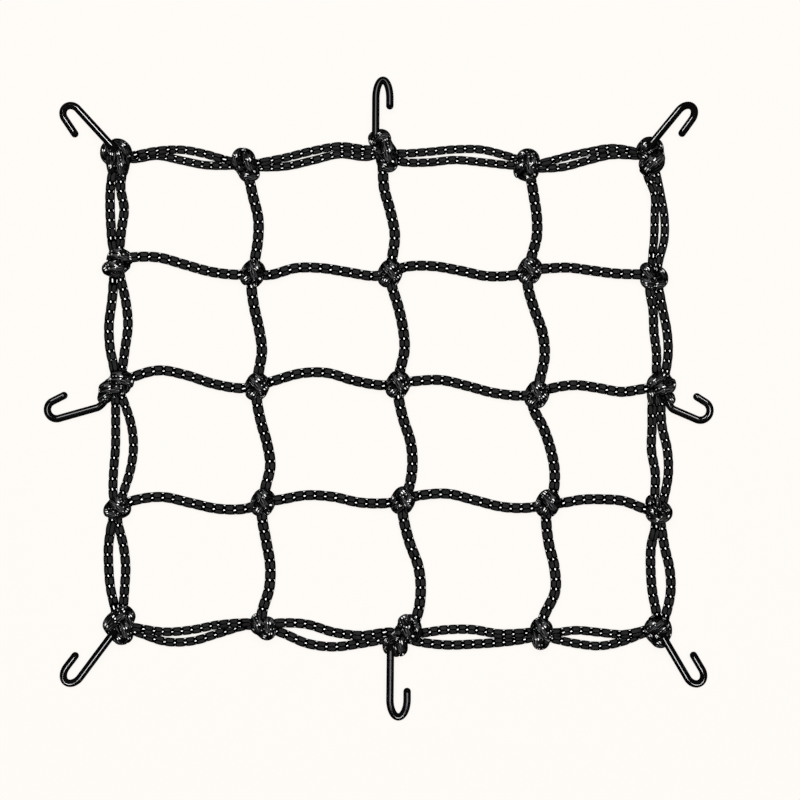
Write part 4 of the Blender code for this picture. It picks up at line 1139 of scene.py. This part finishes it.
# ------------------------------------------------------------------ stage
def plain_material(name, colour, share):
    """A pale sheet that mostly gives off its own even tone, as a bright sweep does."""
    n = Net(name)
    matt = n.node("ShaderNodeBsdfDiffuse")
    matt.inputs["Color"].default_value = (0.80, 0.78, 0.75, 1.0)
    even = n.node("ShaderNodeEmission")
    even.inputs["Color"].default_value = colour
    even.inputs["Strength"].default_value = 0.975
    mixed = n.node("ShaderNodeMixShader")
    mixed.inputs[0].default_value = share
    n.links.new(even.outputs[0], mixed.inputs[1])
    n.links.new(matt.outputs[0], mixed.inputs[2])
    out = n.node("ShaderNodeOutputMaterial")
    n.links.new(mixed.outputs[0], out.inputs["Surface"])
    return n.material


mesh = bpy.data.meshes.new("floor")
mesh.from_pydata([(-6, -6, -0.0002), (6, -6, -0.0002), (6, 6, -0.0002), (-6, 6, -0.0002)], [], [(0, 1, 2, 3)])
mesh.materials.append(plain_material("pale_floor", (1.0, 0.973, 0.939, 1.0), 0.06))
floor = bpy.data.objects.new("floor", mesh)
bpy.context.scene.collection.objects.link(floor)
floor.visible_glossy = False
floor.visible_diffuse = False

world = bpy.data.worlds.new("studio")
world.use_nodes = True
world.node_tree.nodes["Background"].inputs[0].default_value = (1.0, 0.973, 0.939, 1.0)
world.node_tree.nodes["Background"].inputs[1].default_value = 1.0
world.cycles_visibility.glossy = False
world.cycles_visibility.diffuse = False
bpy.context.scene.world = world


def softbox(name, azimuth, off_zenith, distance, wide, tall, power, across=None):
    """A soft light aimed at the middle of the net, its wide side level or across a heading."""
    a, z = math.radians(azimuth), math.radians(off_zenith)
    lamp = bpy.data.lights.new(name, "AREA")
    lamp.shape = "RECTANGLE"
    lamp.size = wide
    lamp.size_y = tall
    lamp.energy = power
    thing = bpy.data.objects.new(name, lamp)
    thing.location = (
        distance * math.sin(z) * math.cos(a),
        distance * math.sin(z) * math.sin(a),
        distance * math.cos(z),
    )
    thing.rotation_euler = (z, 0.0, a + math.pi / 2)
    if across is not None:
        back = thing.location.normalized()
        level = back.cross((math.cos(math.radians(across)), math.sin(math.radians(across)), -0.19)).normalized()
        thing.rotation_euler = Matrix((level, back.cross(level), back)).transposed().to_euler()
    bpy.context.scene.collection.objects.link(thing)
    return thing


for count, gleam in enumerate(GLEAMS):
    lamp = softbox("gleam_%d" % count, gleam.azimuth, gleam.off_zenith, 2.3, gleam.wide, gleam.tall, gleam.watts, gleam.across)
    lamp.visible_diffuse = False
    if "gleam_" + gleam.knot not in bpy.data.collections:
        bpy.data.collections.new("gleam_" + gleam.knot).objects.link(bpy.data.objects["wire_" + gleam.knot])
    lamp.light_linking.receiver_collection = bpy.data.collections["gleam_" + gleam.knot]
lamp = softbox("overhead", 90, 7, 2.6, 2.2, 2.2, OVERHEAD)
lamp.visible_glossy = False

camera = bpy.data.cameras.new("camera")
camera.lens = 180
camera.sensor_width = 36
camera.clip_start = 0.05
eye = bpy.data.objects.new("camera", camera)
eye.location = (10.75 * MM, -0.75 * MM, 2.0 + 0.005)
bpy.context.scene.collection.objects.link(eye)
bpy.context.scene.camera = eye
bpy.context.scene.view_settings.view_transform = "Standard"
